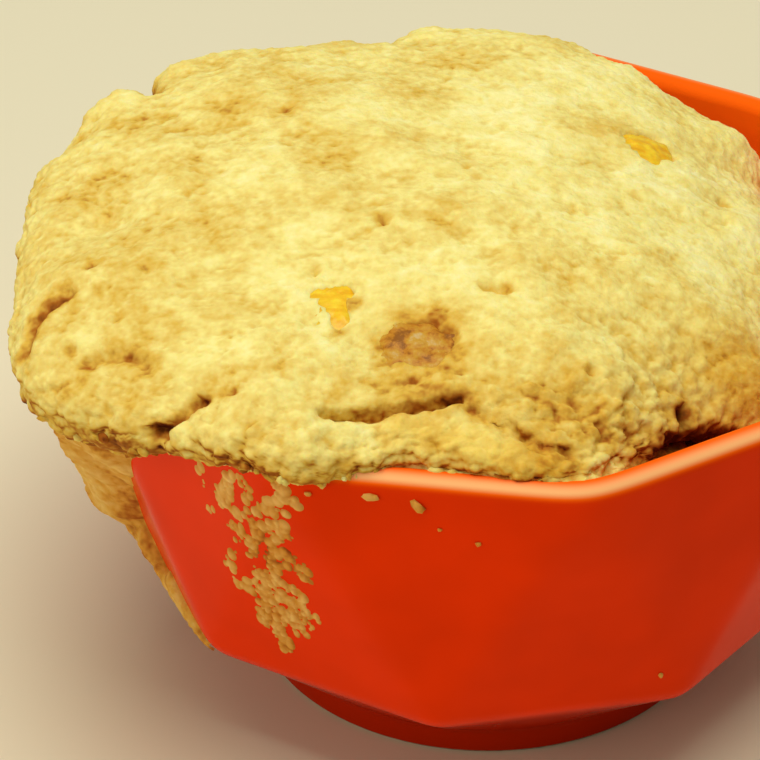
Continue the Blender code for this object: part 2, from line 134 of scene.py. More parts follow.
LEFT_GROOVE = ((-52.6, -32.4, 2.4), (-48.8, -33.2, 3.5), (-44.8, -35.6, 3.9))
GOLD = ((-12.6, -49.5, 3.7), (-2, -51.8, 2.4), (7, -54.1, 0.8))
GOLD_EDGE = (
    (-3.4, -46.6, 5.2), (-1.2, -48.1, 4.7), (2.7, -50.4, 3.8), (6.5, -52.3, 3.1), (10.5, -53.4, 2),
)
SLIT = ((24.2, -39.4, -1.4), (24.6, -41, -3.2), (24.2, -42.4, -5))
WALL_GAP = ((22.4, -44.2, -4), (25.4, -41.6, -5.6), (28.6, -39, -7), (30.4, -37.5, -8))
NOTCH = ((-47.4, 33.5, 4.7), (-48, 36.5, 3.6), (-48.7, 39.5, 1.7), (-49.5, 42.5, -0.9))
FORMS = (  # path, width and height in mm, and the painted shade on its floor; grooves have negative heights
    (CREVICE, 0.85, -2.4, 0.45),
    (STEP, 0.8, -2.0, 0.85),
    (LEFT_CRACK, 1.1, -0.95, 0.80),
    (LEFT_GROOVE, 1.2, -0.9, 0.42),
    (GOLD_EDGE, 1.1, -1.3, 0.40),
    (SLIT, 1.2, -3.2, 0.95),
    (WALL_GAP, 1.8, -6.5, 1.0),
    (NOTCH, 1.1, -2.4, 0.60),
    (LIP, 2.6, 1.1, 0.0),
    (LOBE, 4.0, 1.0, 0.0),
    (GOLD, 2.2, 1.2, 0.0),
)
BROW_WIDTH, BROW_LEAN = 1.9, (0.0, -0.8, 0.2)  # mm: it leans out over the crevice
DARK_SPREAD = 0.4  # power of the groove's own profile: its painted shade reaches out wider than the groove
DENTS = (  # place in plan, width, depth, in mm; swells have negative depths
    (32.5, 7.5, 3, 1), (-53.5, -1.3, 4.5, 1.1), (-10.2, -36.2, 6, 0.4), (-61, 24.5, 3, 1),
    (-53.3, 33.2, 4.2, -2), (-44.2, 42.3, 3.6, -1.9), (-37.5, 46.5, 4.5, -1.2), (-29, 49.3, 3.5, 1.2),
    (-14.8, 49.9, 3, 1.2), (-8.5, 50.5, 3.5, -1.2), (5.5, 51.5, 4.5, 0.6), (22, 43, 6, -1.1),
    (37, 31, 6, -2),
)
TORN, TORN_DEPTH, TORN_ROUGH = (13, -48.5, 9, 4.5), 2.0, 0.6  # mm: place in plan and widths, depth, roughness

# Relief of the sponge. Noises are (height in mm, spacing in m, seed).
WANDERS = ((0.0060, 31), (0.0016, 34))  # 1 mm noises that bend outlines: spacing in m, first of three seeds
SWELLS = ((1.05, 0.0170, 1), (0.50, 0.0075, 2), (0.25, 0.0035, 3))
GRAIN = ((0.09, 0.0031, 63), (0.05, 0.0008, 62))
LUMPY_LIP, COARSE_LIP, FOOT_WIDTH, GOLD_WIDTH = 6.0, 4.0, 2.0, 3.2  # mm to either side of their paths
LUMP_HEIGHT, GRANULE_HEIGHT, SPECK_HEIGHT, PORE_DEPTH = 0.80, 0.60, 0.30, 0.50  # mm
LUMP_EDGE, GRANULE_EDGE, SPECK_EDGE = 0.9, 0.85, 0.8  # how far each reaches from its middle, in spacings
LUMP_UNDER, GRANULE_UNDER, SPECK_UNDER = 0.6, 0.5, 0.5  # share of the height that lies under the surface
SPECK_SPACING, PORE_SPACING = 0.0011, 0.0034
PORE_SHARE = 0.10  # of the places where a pore could be
COARSE = ((3, -45.5, 6, 2.5), (14, -46.5, 11, 6), (24, -40, 9, 7))  # where coarsest: place, widths in mm
PITS = (  # small holes seen in the crust: place in plan, width, depth, in mm
    (-0.9, -25.9, 0.9, 1.2), (1.1, -26.1, 1.1, 1.4), (-28.2, 20, 0.8, 0.7), (-14.6, -11.1, 1, 1.2),
    (-23.9, -21, 0.7, 1), (-53.6, -15.1, 0.8, 1), (11.9, -40.8, 0.6, 1), (-10.9, -42.1, 0.7, 0.6),
    (-4.8, -41.4, 0.6, 0.5), (-55, -30, 0.8, 0.9), (-33.9, -43.3, 0.7, 0.8), (32.5, 7.5, 0.9, 1),
    (-49.4, -26.9, 0.8, 0.6),
)
PIT_DARK_FROM = 1.2  # mm: a pit this deep takes the darkest painted shade

# Tones. Each row is a place in plan, widths along X and Y in mm, and how much more, or less where negative.
# Several rows are painted light, not baking: shade down the left side and front left, above the crevice,
# under the left lobe and along the lip; lighter patches on the right of the top where negative; and the red
# wall's orange glow near (33, -30).
BAKED_AND_SHADED = (
    (-34, 24, 17, 13, 0.3), (-52, 4, 14, 26, 0.18), (-46, -28, 16, 14, 0.14), (-18, -46.2, 6, 1.4, 0.35),
    (-32, -50, 12, 3.5, 0.12), (-15, 38, 22, 8, 0.1), (3.5, -46, 6, 2.5, 0.28), (1.6, 18.2, 8, 12, -0.42),
    (15, 30, 7, 6, -0.3), (13, 16.5, 6, 3.5, 0.12), (9, -46, 12, 4.5, 0.18), (-28.2, 20, 2.5, 2, 0.3),
    (29, 12.5, 3.5, 4, -0.2), (-11, -10.5, 5, 2, 0.34), (-19, -28.5, 1.5, 1.4, 1.8),
    (-20.4, -33.8, 1, 0.9, 1.2), (-55, -36, 5, 5, 0.22), (-46, -42, 6, 3, 0.25), (30, 5, 14, 20, -0.2),
    (31.8, 9, 2.2, 3, 0.45), (-21, -52, 10, 4, 0.14), (20, 28, 14, 12, -0.18), (18, -10, 14, 12, -0.12),
    (-60.4, -23.4, 1.6, 2.6, 0.3), (-58.2, -20.2, 1.6, 1.4, 0.3), (22, -22, 12, 6, 0.12),
    (-34.2, -19.5, 3.5, 2.5, 0.25), (-27, -37, 4, 4, 0.18), (-14, -43.5, 9, 2.2, 0.32),
    (-38, -29, 7, 4, 0.1), (-2, -22, 14, 7, -0.12), (33, -30, 8, 8, 0.5), (6, -41, 8, 4, 0.18),
    (-5.6, -34.8, 1.7, 1.5, -0.4), (-9.3, -35, 6.2, 5.6, 0.85),
)
# The row at (32, -31) is painted glow: orange light thrown by the red glaze on to the cake by the wall.
GILDED_AND_GLOWING = ((16, 14, 5, 5, 0.4), (32, -31, 9, 9, 1), (-9.3, -35, 6.5, 6.5, 0.55), (12, -46, 12, 6, 0.45))
HOLLOWS = ((3, 0.85), (10, 0.25))  # how far round a hollow is looked for, in mesh points, and how it counts
HOLLOWEST = 0.80  # outside the cracks and the pits

# Set in the top: piece, node, slot, place (x, y) in mm, size in mm, how far its middle lies under the top,
# turn in degrees, seed, and how crumbly it is.
FRUIT = (
    ("fruit_front_flesh", "fruit_front", "yellow_fruit", (-21.2, -28.3), (11, 8.2, 5), 3.05, 96, 11, 0),
    ("fruit_back_flesh", "fruit_back", "yellow_fruit", (22.7, 15.2), (9, 8.6, 5), 2.75, 80, 12, 0),
    ("browned_fruit_skin", "browned_piece", "browned_fruit", (-9.3, -35), (12.4, 11.6, 5), 2.85, 5, 21, 0.16),
)
BLOCK_POWER = 3.2  # 2 is a ball, and more is squarer
BLOCK_UNEVEN = ((0.10, 0.65, 0), (0.06, 0.28, 1), (0.025, 0.12, 2))  # noises, where half its size is 1
BLOCK_CRUMB = 0.34  # spacing of the lumps on a crumbly one
BLOCK_ROWS, BLOCK_COLUMNS = 60, 90
OPENINGS = (  # where the crust leaves them bare: place in plan, half width, and depth, in mm
    (-23.2, -24.6, 1, 2.2), (-21.6, -25, 1.3, 2.4), (-19.6, -25.4, 1.1, 2.2), (-21.3, -27.2, 1.4, 2.4),
    (-20.8, -28.8, 1.2, 2.6), (-20.7, -30.5, 0.9, 2.4), (-20.6, -31.8, 0.6, 2.2), (20.4, 17.2, 1.1, 2.4),
    (22.8, 17.6, 1.7, 2.6), (24.6, 16, 1.9, 2.6), (22.8, 15, 2.2, 2.6), (22.8, 13, 1.4, 2.4),
    (-12, -36, 1.7, 0.9), (-7.2, -35.4, 2.2, 0.9), (-11, -33.6, 1.8, 0.9), (-8.6, -33.2, 1.2, 0.8),
    (-9.6, -37.2, 2.4, 0.9),
)
OPENING_EDGE = (0.6, -0.7)  # mm past the half width at which one starts, and is full

# Batter baked on to the wall's outside: two ends as (degrees, height in mm), half width, thickness in mm.
FLECKS = (
    ((-43.8, 53.5), (-43.4, 51), 0.5, 0.15), ((-37.5, 55.8), (-40.2, 50.3), 1, 0.75),
    ((-39.1, 51), (-37.5, 49.5), 0.8, 0.5), ((-34.9, 57.6), (-34, 53.7), 0.6, 0.4),
    ((-43.5, 47.1), (-43, 47.2), 0.5, 0.2), ((-38.4, 47.3), (-38.5, 46.5), 0.7, 0.5),
    ((-36.5, 47.3), (-37.8, 44.8), 0.5, 0.4), ((-35, 50.6), (-34.1, 50.2), 0.9, 0.7),
    ((-33.1, 52), (-32, 53.4), 0.7, 0.55), ((-28.6, 58.9), (-28.4, 58.5), 0.8, 0.6),
    ((-28.5, 57), (-28.4, 56.8), 0.7, 0.65), ((-26.9, 56.9), (-26.8, 56.5), 0.8, 0.8),
    ((-30.6, 54.5), (-30.1, 54.5), 0.7, 0.5), ((-29.2, 54.2), (-28.6, 54.3), 0.6, 0.35),
    ((-31.6, 50.1), (-29.9, 51.3), 0.8, 0.8), ((-29.9, 51.3), (-28.8, 50.1), 0.9, 0.9),
    ((-28.8, 50.1), (-30.9, 47.5), 0.9, 0.8), ((-33.4, 47.7), (-35.4, 43.6), 0.9, 0.75),
    ((-34, 49), (-33.5, 47), 0.7, 0.5), ((-39.1, 41.7), (-40.5, 38.7), 0.7, 0.4),
    ((-31.6, 44.6), (-32.5, 41.9), 0.9, 0.7), ((-34.8, 39.8), (-32.5, 39), 0.9, 0.8),
    ((-32.4, 39.6), (-28.6, 38), 0.9, 0.9), ((-28.1, 43.1), (-26.3, 41.8), 0.8, 0.6),
    ((-39.9, 35.6), (-36.9, 36.5), 0.6, 0.35), ((-34.1, 38.9), (-35.9, 29.8), 1.2, 0.9),
    ((-32.5, 36), (-29.4, 35.6), 1.2, 0.8), ((-33.4, 31.5), (-29.5, 33.5), 1.3, 0.9),
    ((-30.1, 32.5), (-27.2, 33.9), 0.7, 0.5), ((-35, 29.5), (-33.6, 25), 1, 0.8),
    ((-29.8, 45.4), (-27.5, 43), 1.4, 0.25), ((-35, 35.5), (-30.5, 31.5), 2.4, 0.3),
)
FLECK_SOFT = 0.35  # mm that a fleck spreads past its half width
FLECK_CRUMB = 0.66  # mm: spacing of the crumbs in a fleck
CRUMBS_KEPT = 0.55  # share of the crumbs
FILM = (0.45, -0.22)  # the film between them: share of the cover, and mm more or less
FILM_GRAIN = ((0.20, 0.0011, 87),)
LEFT_RUN = (  # the run on the left, from the lip down: (degrees, height, half width, thickness), in mm
    (-70, 60, 18, 7.5), (-72, 52, 16, 7.3), (-75, 44, 13.5, 7), (-77, 38, 11, 6.6), (-78, 34, 9.5, 5.2),
    (-79, 29, 8.5, 5.4), (-79.5, 26, 7.8, 5.8), (-79.5, 24.8, 7, 5.2), (-78.5, 23.8, 7, 2.6),
    (-75.5, 22, 9.5, 2.1), (-70, 20.2, 13.5, 1.7), (-64.5, 18, 16.5, 1.2),
)
TONGUES = ((2.6, 0.0045, 94),)  # how far its shape is drawn up or down in tongues
TONGUES_TALL = 0.2  # heights count this much in that noise, so that they are tall
TONGUES_UP = (19, 25)  # mm: the height at which they start, and from which they are full
RUN_RAGGED = ((2.2, 0.007, 91), (0.9, 0.0028, 92))
RUN_LUMPS = ((1.7, 0.0050, 93), (0.9, 0.0021, 95))
RUN_CRUMB = (0.35, 0.0011, 97)
# Piece, the degrees, heights and step in mm of its grid, the thickness in mm that counts as full, and how
# hollow, baked and golden it is: where it is thinnest, and how much more where it is full.
BATTER = (
    ("batter_flecks", (-47, -22), (22, 61), 0.16, 0.6, (0.56, -0.24), (0.52, -0.34), (1.0, -0.1)),
    ("batter_left", (-108, -44), (18, 61), 0.32, 4.0, (0.52, -0.10), (0.60, -0.08), (0.60, 0.0)),
)
SKIN_LOWEST = 0.0004  # how far under the glaze a skin on the wall goes where it has no thickness
SKIN_MADE = 0.00002  # how far under the glaze it is still made

# Loose crumbs.
CRUMB_ROWS, CRUMB_COLUMNS = 4, 7
CRUMB_UNEVEN = ((0.45, 0.7, 0),)
CRUMBS_APART = 3.1  # in the noise, so that each gets its own shape
LIP_CRUMBS_ROUND, LIP_CRUMBS_IN = (-62, -14), (0.04, 0.15)  # degrees, and share of the way in
LIP_CRUMB_MM, LIP_CRUMB_SMALLER = (0.2, 0.85), 1.3  # half sizes, and a power that makes most of them small
LIP_CRUMB_STRETCH, LIP_CRUMB_TONE = (0.6, 1.4), (0.25, 0.75)
LIP_CRUMB_SUNK, WALL_CRUMB_OUT = 0.15, 0.15  # mm: their middles under the crust, and off the wall
WALL_CRUMBS = (  # single crumbs stuck to the wall: (degrees, height, length, width) in mm, and their tilt
    (-16.7, 59.3, 2.4, 1.3, 10), (-10.6, 58.4, 2.9, 1.6, 55), (-24.7, 58.7, 1.1, 0.8, 0),
    (-2.6, 52.8, 0.8, 0.6, 0), (26.1, 23.9, 1.1, 0.8, 80), (-7.7, 54.7, 0.7, 0.5, 20),
)
WALL_CRUMB_FLAT, WALL_CRUMB_TONE = 0.6, 0.45  # height over width, and how baked

# Table, lights and camera. The camera comes from the outline of the bowl in the photograph.
TABLE_HALF = 4.0  # half its side
LIT_AT = (0, 0, 0.05)  # the point that both lamps face
CAMERA_PLACE = (-0.01501, -0.46385, 0.35547)
CAMERA_DOWN = math.radians(34.19)
SENSOR = 36.0
LENS = SENSOR * 4000 / 760  # mm: a focal length of 4000 pixels in a picture 760 pixels wide


def linear(hex_colour):
    """Linear red, green, blue and alpha of an sRGB colour written as #RRGGBB."""
    parts = [int(hex_colour[i : i + 2], 16) / 255 for i in (1, 3, 5)]
    return (*(c / 12.92 if c <= 0.04045 else ((c + 0.055) / 1.055) ** 2.4 for c in parts), 1.0)


def colour_property(name, hex_colour, description):
    """A colour setting whose default is an sRGB colour."""
    return FloatVectorProperty(
        name=name, description=description, subtype="COLOR", size=4, min=0, max=1, default=linear(hex_colour)
    )


def length_property(name, description, default):
    """A length setting in metres, 1 mm at least."""
    return FloatProperty(
        name=name, description=description, default=default, unit="LENGTH", min=MM, precision=4
    )


class MUGCAKE_BowlSettings(bpy.types.PropertyGroup):
    glaze: colour_property("Glaze", "#EB3602", "Glaze on the outside")
    # The inside is painted lighter than the outside: painted light for the inside wall, which faces up into
    # the light.
    inside_glaze: colour_property("Inside glaze", "#FF660E", "Glaze down the inside, where it is thinner")
    # Thin glaze over the rim, with a painted highlight where the lip catches the light.
    rim_glaze_and_highlight: colour_property("Thin glaze", "#FFBA7C", "Glaze where it thins over the rim")
    # Painted shade: the glaze is darker under the lower edge and round the foot.
    underside_shade_glaze: colour_property("Pooled glaze", "#B02404", "Glaze where it ran together round the foot")
    clay: colour_property("Clay", "#CDB79A", "Unglazed clay under the foot")
    columns_a_side: IntProperty(name="Columns", description="Mesh columns in one side", default=52, min=8)


class MUGCAKE_CakeSettings(bpy.types.PropertyGroup):
    cells: IntProperty(name="Cells", description="Mesh cells across the top", default=312, min=60, max=315)
    lump: length_property("Lumps", "Spacing of the lumps", 0.0058)
    granule: length_property("Granules", "Spacing of coarse crumb", 0.0018)
    # Pale crust falls where the tone is lowest, on the high lumps, where it is partly painted light.
    pale: colour_property("Pale crust", "#FAF4AE", "Crust on the highest lumps")
    crust: colour_property("Crust", "#F1E48C", "Crust over most of the top")
    # Golden is torn crumb, and on the sides of the lumps partly painted shade.
    golden: colour_property("Golden", "#DBB44A", "Sides of the lumps and torn crumb")
    # Brown is browned crust, and painted shade in hollows and under edges.
    brown: colour_property("Brown", "#A8641A", "Baked hollows and edges")
    # Dark is painted shadow, in the deep cracks and in the gap by the wall.
    crack_shade: colour_property("Dark", "#561E06", "Deep cracks")


class MUGCAKE_FillingSettings(bpy.types.PropertyGroup):
    fruit: colour_property("Fruit", "#F2BE1E", "Ripe yellow flesh")
    browned: colour_property("Browned fruit", "#BC7C1E", "Fruit that caramelised in the top")
    crumbs: IntProperty(name="Crumbs", description="Loose crumbs along the lip", default=110, min=0)


class MUGCAKE_StageSettings(bpy.types.PropertyGroup):
    floor: colour_property("Floor", "#E9E4CA", "Plain pale table")
    key_power: FloatProperty(name="Key", description="Soft box overhead", default=7.4, unit="POWER", min=0)
    fill_power: FloatProperty(name="Fill", description="Soft box, left", default=3.4, unit="POWER", min=0)
    sky: FloatProperty(name="Sky", description="Strength of the even light all round", default=0.24, min=0)


def smooth_step(t):
    """0 up to 0, 1 from 1 on, and an S curve between."""
    t = np.clip(t, 0, 1)
    return t * t * (3 - 2 * t)


def ramp(value, start, full):
    """0 up to the start, 1 from full on, and an S curve between. Full may be the lower of the two."""
    return smooth_step((value - start) / (full - start))


def around(angle, keys):
    """A smooth curve once round the bowl through (degrees, millimetres) keys, in metres: cubic pieces that
    share their slopes where they meet."""
    at = np.radians([key[0] for key in keys])
    value = np.array([key[1] for key in keys]) * MM
    at = np.concatenate([at - TURN, at, at + TURN])
    value = np.tile(value, 3)
    slope = np.gradient(value, at)
    angle = np.mod(angle + math.pi, TURN) - math.pi
    i = np.searchsorted(at, angle) - 1
    span = at[i + 1] - at[i]
    t = (angle - at[i]) / span
    start = (1 + 2 * t) * (1 - t) ** 2 * value[i] + t * (1 - t) ** 2 * span * slope[i]
    end = t * t * (3 - 2 * t) * value[i + 1] - t * t * (1 - t) * span * slope[i + 1]
    return start + end


def hashed(cell, seed):
    """A fixed random number from 0 to 1 for each cell of whole x, y and z."""
    x, y, z = np.moveaxis(cell, -1, 0)
    mixed = (x * 73856093) ^ (y * 19349663) ^ (z * 83492791) ^ (seed * 668265263)
    mixed = ((mixed ^ (mixed >> 13)) * 1274126177) & 0x7FFFFFFF
    return ((mixed ^ (mixed >> 16)) & 0xFFFF) / 65535


def lattice_noise(points, spacing, seed):
    """Smooth noise from -1 to 1: fixed random values at the corners of cubes, blended between."""
    scaled = points / spacing
    base = np.floor(scaled).astype(np.int64)
    part = smooth_step(scaled - base)
    total = np.zeros(points.shape[:-1])
    for corner in np.ndindex(2, 2, 2):
        weight = np.prod(np.where(corner, part, 1 - part), axis=-1)
        total += (2 * hashed(base + corner, seed) - 1) * weight
    return total


def layered(points, layers, first_seed=0):
    """The sum of smooth noises, given as (height, spacing, seed)."""
    return sum(height * lattice_noise(points, spacing, first_seed + seed) for height, spacing, seed in layers)


def grains(points, spacing, seed):
    """Cellular noise: one centre at a random place in each cube. Gives the distance to the nearest centre, in
    spacings, and a random number that belongs to it."""
    scaled = points / spacing
    base = np.floor(scaled).astype(np.int64)
    nearest = np.full(points.shape[:-1], np.inf)
    chance = np.zeros(points.shape[:-1])
    for step in np.ndindex(3, 3, 3):
        cell = base + np.array(step) - 1
        centre = cell + np.stack([hashed(cell, seed + i) for i in range(3)], -1)
        away = np.linalg.norm(scaled - centre, axis=-1)
        chance = np.where(away < nearest, hashed(cell, seed + 3), chance)
        nearest = np.minimum(nearest, away)
    return nearest, chance


def cap(away, edge):
    """A rounded top: 1 at a middle, falling as a parabola to 0 at the edge, and 0 outside."""
    return 1 - np.minimum(away / edge, 1) ** 2


def wall_radius(angle, height, inset=0.0):
    """Distance from the axis to the faceted wall. Each facet is a plane whose distance from the axis changes
    evenly with height, and the wall is the nearest of them, rounded where they meet by a power mean."""
    up = np.clip((height - LOWER_HEIGHT) / (RIM_HEIGHT - LOWER_HEIGHT), 0, 1)
    flat = math.cos(SIDE_ANGLE / 2)
    below_side = LOWER_RADIUS + (RIM_RADIUS * flat - LOWER_RADIUS) * up - inset
    below_corner = LOWER_RADIUS * flat + (RIM_RADIUS - LOWER_RADIUS * flat) * up - inset
    rounder = ramp(up, ROUNDER_FROM, 1)
    power = CREASE_POWER + (RIM_POWER - CREASE_POWER) * rounder
    total = 0
    for side in range(SIDES):
        corner = FIRST_CORNER + side * SIDE_ANGLE
        for facing, distance in ((corner + SIDE_ANGLE / 2, below_side), (corner, below_corner)):
            total = total + (np.maximum(np.cos(angle - facing), 0) * RIM_RADIUS / distance) ** power
    return RIM_RADIUS * total ** (-1 / power)


def polar(radius, angle, height):
    """Points from their distances from the axis, angles round the bowl and heights."""
    return np.stack(np.broadcast_arrays(radius * np.sin(angle), -radius * np.cos(angle), height), -1)


def mesh_object(name, points, triangles, finish, slot, replaces=(), **attributes):
    """A smooth mesh that rides on the part's body, with a number for each point in each attribute."""
    mesh = bpy.data.meshes.new(name)
    mesh.vertices.add(points.size // 3)
    mesh.vertices.foreach_set("co", np.ascontiguousarray(points, np.float32).ravel())
    mesh.loops.add(triangles.size)
    mesh.loops.foreach_set("vertex_index", np.ascontiguousarray(triangles, np.int32).ravel())
    mesh.polygons.add(len(triangles))
    mesh.polygons.foreach_set("loop_start", np.arange(0, triangles.size, 3, dtype=np.int32))
    mesh.update(calc_edges=True)
    mesh.validate()
    mesh.shade_smooth()
    for key, values in attributes.items():
        layer = mesh.attributes.new(key, "FLOAT", "POINT")
        layer.data.foreach_set("value", values.astype(np.float32).ravel())
    mesh.materials.append(finish)
    piece = bpy.data.objects.new(name, mesh)
    bpy.context.scene.collection.objects.link(piece)
    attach(piece, BODY)
    if replaces:
        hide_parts(*replaces)


def closed_rings(rings, start, end):
    """Closed rings of points, joined each to the next, with a point at the start and one at the end to close
    them, and their triangles, which face out where the rings go up."""
    rows, columns = rings.shape[:2]
    points = np.concatenate([rings.reshape(-1, 3), [start, end]])
    i = np.arange(columns)
    j = np.roll(i, -1)
    first = columns * np.arange(rows - 1)[:, None]
    a, b, c, d = first + i, first + j, first + columns + j, first + columns + i
    between = [np.stack(corners, -1).reshape(-1, 3) for corners in ((a, b, c), (a, c, d))]
    last = columns * (rows - 1)
    first_fan = np.stack([np.full(columns, rows * columns), j, i], -1)
    last_fan = np.stack([last + i, last + j, np.full(columns, rows * columns + 1)], -1)
    return points, np.concatenate([*between, first_fan, last_fan])


def ball(rows, columns):
    """A ball of radius 1 as rings from the bottom up, with its triangles."""
    rise = np.linspace(-math.pi / 2, math.pi / 2, rows + 2)[1:-1, None]
    turn = np.arange(columns) * TURN / columns
    sides = np.broadcast_arrays(np.cos(rise) * np.cos(turn), np.cos(rise) * np.sin(turn), np.sin(rise))
    return closed_rings(np.stack(sides, -1), (0, 0, -1), (0, 0, 1))


def bowl_surface(columns_a_side):
    """The bowl as one profile, from the middle of its underside over the rim to the middle of its floor,
    carried round the axis. The outside is the faceted wall, and the lip is a half circle across the wall's
    thickness. Also gives, at each point, how pale the glaze is painted (over the rim thin glaze and a painted
    highlight, down the inside painted light), how bare the clay, and how much painted shade darkens the glaze
    below the lower edge."""
    angle = FIRST_CORNER + np.arange(SIDES * columns_a_side) * SIDE_ANGLE / columns_a_side
    low = wall_radius(angle, LOWER_HEIGHT)
    above = wall_radius(angle, LOWER_HEIGHT + EDGE_ROUND)
    inner = wall_radius(angle, LOWER_HEIGHT, WALL)
    slope_end = LOWER_HEIGHT - EDGE_ROUND
    lip_height = RIM_HEIGHT - WALL / 2
    middle = wall_radius(angle, lip_height) - WALL / 2

    # Each ring is its radius, its height, how pale the glaze is painted (thin glaze and a painted highlight
    # over the rim, painted light down the inside) and how bare the clay.
    inside_ring = FOOT_RADIUS - BARE_RING
    under = np.linspace(INNERMOST_RING, inside_ring - BARE_EDGE, UNDER_RINGS)
    unglazed = np.linspace(inside_ring, FOOT_RADIUS - FOOT_BEVEL, BARE_RINGS)
    profile = [(radius, 0, 0, 0) for radius in under] + [(radius, 0, 0, 1) for radius in unglazed]
    for turn in np.linspace(BEVEL_FROM, math.pi / 2, BEVEL_RINGS):
        radius = FOOT_RADIUS - FOOT_BEVEL * (1 - math.sin(turn))
        profile.append((radius, FOOT_BEVEL * (1 - math.cos(turn)), 0, int(turn < BARE_TO)))
    for height in np.linspace(FOOT_BEVEL, FOOT_HEIGHT, FOOT_RINGS)[1:]:
        profile.append((FOOT_RADIUS, height, 0, 0))
    for share in np.linspace(0, 1, SLOPE_RINGS)[1:]:
        radius = FOOT_RADIUS + share * (low - EDGE_ROUND - FOOT_RADIUS)
        profile.append((radius, FOOT_HEIGHT + share * (slope_end - FOOT_HEIGHT), 0, 0))
    for t in np.linspace(0, 1, EDGE_RINGS)[1:]:
        corner = (1 - t) ** 2 * (low - EDGE_ROUND) + 2 * t * (1 - t) * low + t * t * above
        profile.append((corner, slope_end + 2 * EDGE_ROUND * t, 0, 0))
    for height in np.linspace(LOWER_HEIGHT + EDGE_ROUND, lip_height, WALL_RINGS)[1:-1]:
        profile.append((wall_radius(angle, height), height, 0, 0))
    # Over the lip the glaze is painted pale: partly glaze that thinned over the rim, partly a painted
    # highlight.
    for turn in np.linspace(0, math.pi, LIP_RINGS):
        from_inside = INSIDE_PALE * smooth_step((turn - RIM_PALEST) / (math.pi / 2))
        spread = PALE_OUT if turn < RIM_PALEST else PALE_IN
        thin = from_inside + (1 - from_inside) * math.exp(-(((turn - RIM_PALEST) / spread) ** 2))
        profile.append((middle + WALL / 2 * math.cos(turn), lip_height + WALL / 2 * math.sin(turn), thin, 0))
    for height in np.linspace(lip_height, LOWER_HEIGHT, INSIDE_RINGS)[1:]:
        # Down the inside the glaze is painted lighter, as painted light.
        profile.append((wall_radius(angle, height, WALL), height, INSIDE_PALE, 0))
    for turn in np.linspace(0, math.pi / 2, FLOOR_RINGS)[1:]:
        radius = inner * (FLOOR_FLAT + (1 - FLOOR_FLAT) * math.cos(turn))
        profile.append((radius, FLOOR_HEIGHT + (LOWER_HEIGHT - FLOOR_HEIGHT) * (1 - math.sin(turn)), 0, 0))

    rings = np.array([polar(radius, angle, height) for radius, height, _, _ in profile])
    points, triangles = closed_rings(rings, (0, 0, 0), (0, 0, FLOOR_HEIGHT))
    height, thin, bare = np.array([ring[1:] for ring in profile], float).T
    # Painted shade: where the glaze is not thin, it darkens from the lower edge's height downwards.
    underside_shade = np.where(thin > 0, 0, ramp(height, LOWER_HEIGHT, LOWER_HEIGHT - UNDERSIDE_SHADE_OVER))
    glazing = {"thin": thin, "bare": bare, "underside_shade": underside_shade}
    for name, value in glazing.items():
        glazing[name] = np.append(np.repeat(value, len(angle)), [0, 0])
    return points, triangles, glazing


def dome(angle, share):
    """The cake's plain surface, for a share of 0 where it meets the wall to 1 at the crown: a quarter ellipse
    from the wall out to the widest point, then a superellipse up to the crown."""
    reach = around(angle, REACH_MM)
    start_height = RIM_HEIGHT - around(angle, DROP_MM)
    start = wall_radius(angle, start_height, WALL / 2)
    widest = wall_radius(angle, RIM_HEIGHT) + reach
    spilled = ramp(reach, *SPILL)
    widest_height = start_height + EDGE_UP + spilled * SPILLED_UP * (RIM_HEIGHT - start_height)
    lower = np.clip(share / UNDERCUT, 0, 1) * math.pi / 2
    upper = np.clip((share - UNDERCUT) / (1 - UNDERCUT), 0, 1)
    rising = upper * math.pi / 2
    crown = RIM_HEIGHT + CROWN_RISE
    under = share < UNDERCUT
    flat = np.cos(rising) ** (2 / DOME_POWER)
    steep = np.sin(rising) ** (2 / DOME_POWER)
    radius = np.where(under, start + (widest - start) * np.sin(lower), widest * flat)
    height = np.where(
        under,
        widest_height + (start_height - widest_height) * np.cos(lower),
        widest_height + (crown - widest_height) * steep,
    )
    return polar(radius, angle, height) + (upper**CROWN_BLEND)[..., None] * np.array((CROWN_X, CROWN_Y, 0))


def square_to_disc(cells):
    """Angle and share of the way in from the edge, for a square grid laid over a disc so that its squares
    keep about one size: a square ring of the grid becomes a ring of the disc."""
    across, along = np.meshgrid(*[np.linspace(-1, 1, cells + 1)] * 2, indexing="ij")
    edge = np.maximum(np.maximum(abs(across), abs(along)), 1e-9)
    sideways = abs(across) > abs(along)
    wide = math.pi / 4 * along / np.where(sideways, across, 1) + np.where(across < 0, math.pi, 0)
    deep = math.pi / 2 - math.pi / 4 * across / np.where(sideways, 1, np.where(along == 0, 1, along))
    deep = deep + np.where(along < 0, math.pi, 0)
    return np.where(sideways, wide, deep), (1 - edge) ** TOWARDS_EDGE


def surface_normals(points):
    """The normal at each point of a grid, from its neighbours each way."""
    across, along = np.gradient(points, axis=(0, 1))
    normals = np.cross(across, along)
    return normals / np.maximum(np.linalg.norm(normals, axis=-1, keepdims=True), 1e-12)


def square_corners(grid):
    """The values of a grid at the four corners of each of its squares, counted round the square."""
    return grid[:-1, :-1], grid[1:, :-1], grid[1:, 1:], grid[:-1, 1:]


def split_short(points):
    """Two triangles for each square of a grid, split along its shorter diagonal."""
    corner = square_corners(points)
    first = np.linalg.norm(corner[0] - corner[2], axis=-1) < np.linalg.norm(corner[1] - corner[3], axis=-1)
    a, b, c, d = square_corners(np.arange(points.size // 3).reshape(points.shape[:2]))
    one = np.where(first[..., None], np.stack([a, b, c], -1), np.stack([a, b, d], -1))
    two = np.where(first[..., None], np.stack([a, c, d], -1), np.stack([b, c, d], -1))
    return np.concatenate([one.reshape(-1, 3), two.reshape(-1, 3)])


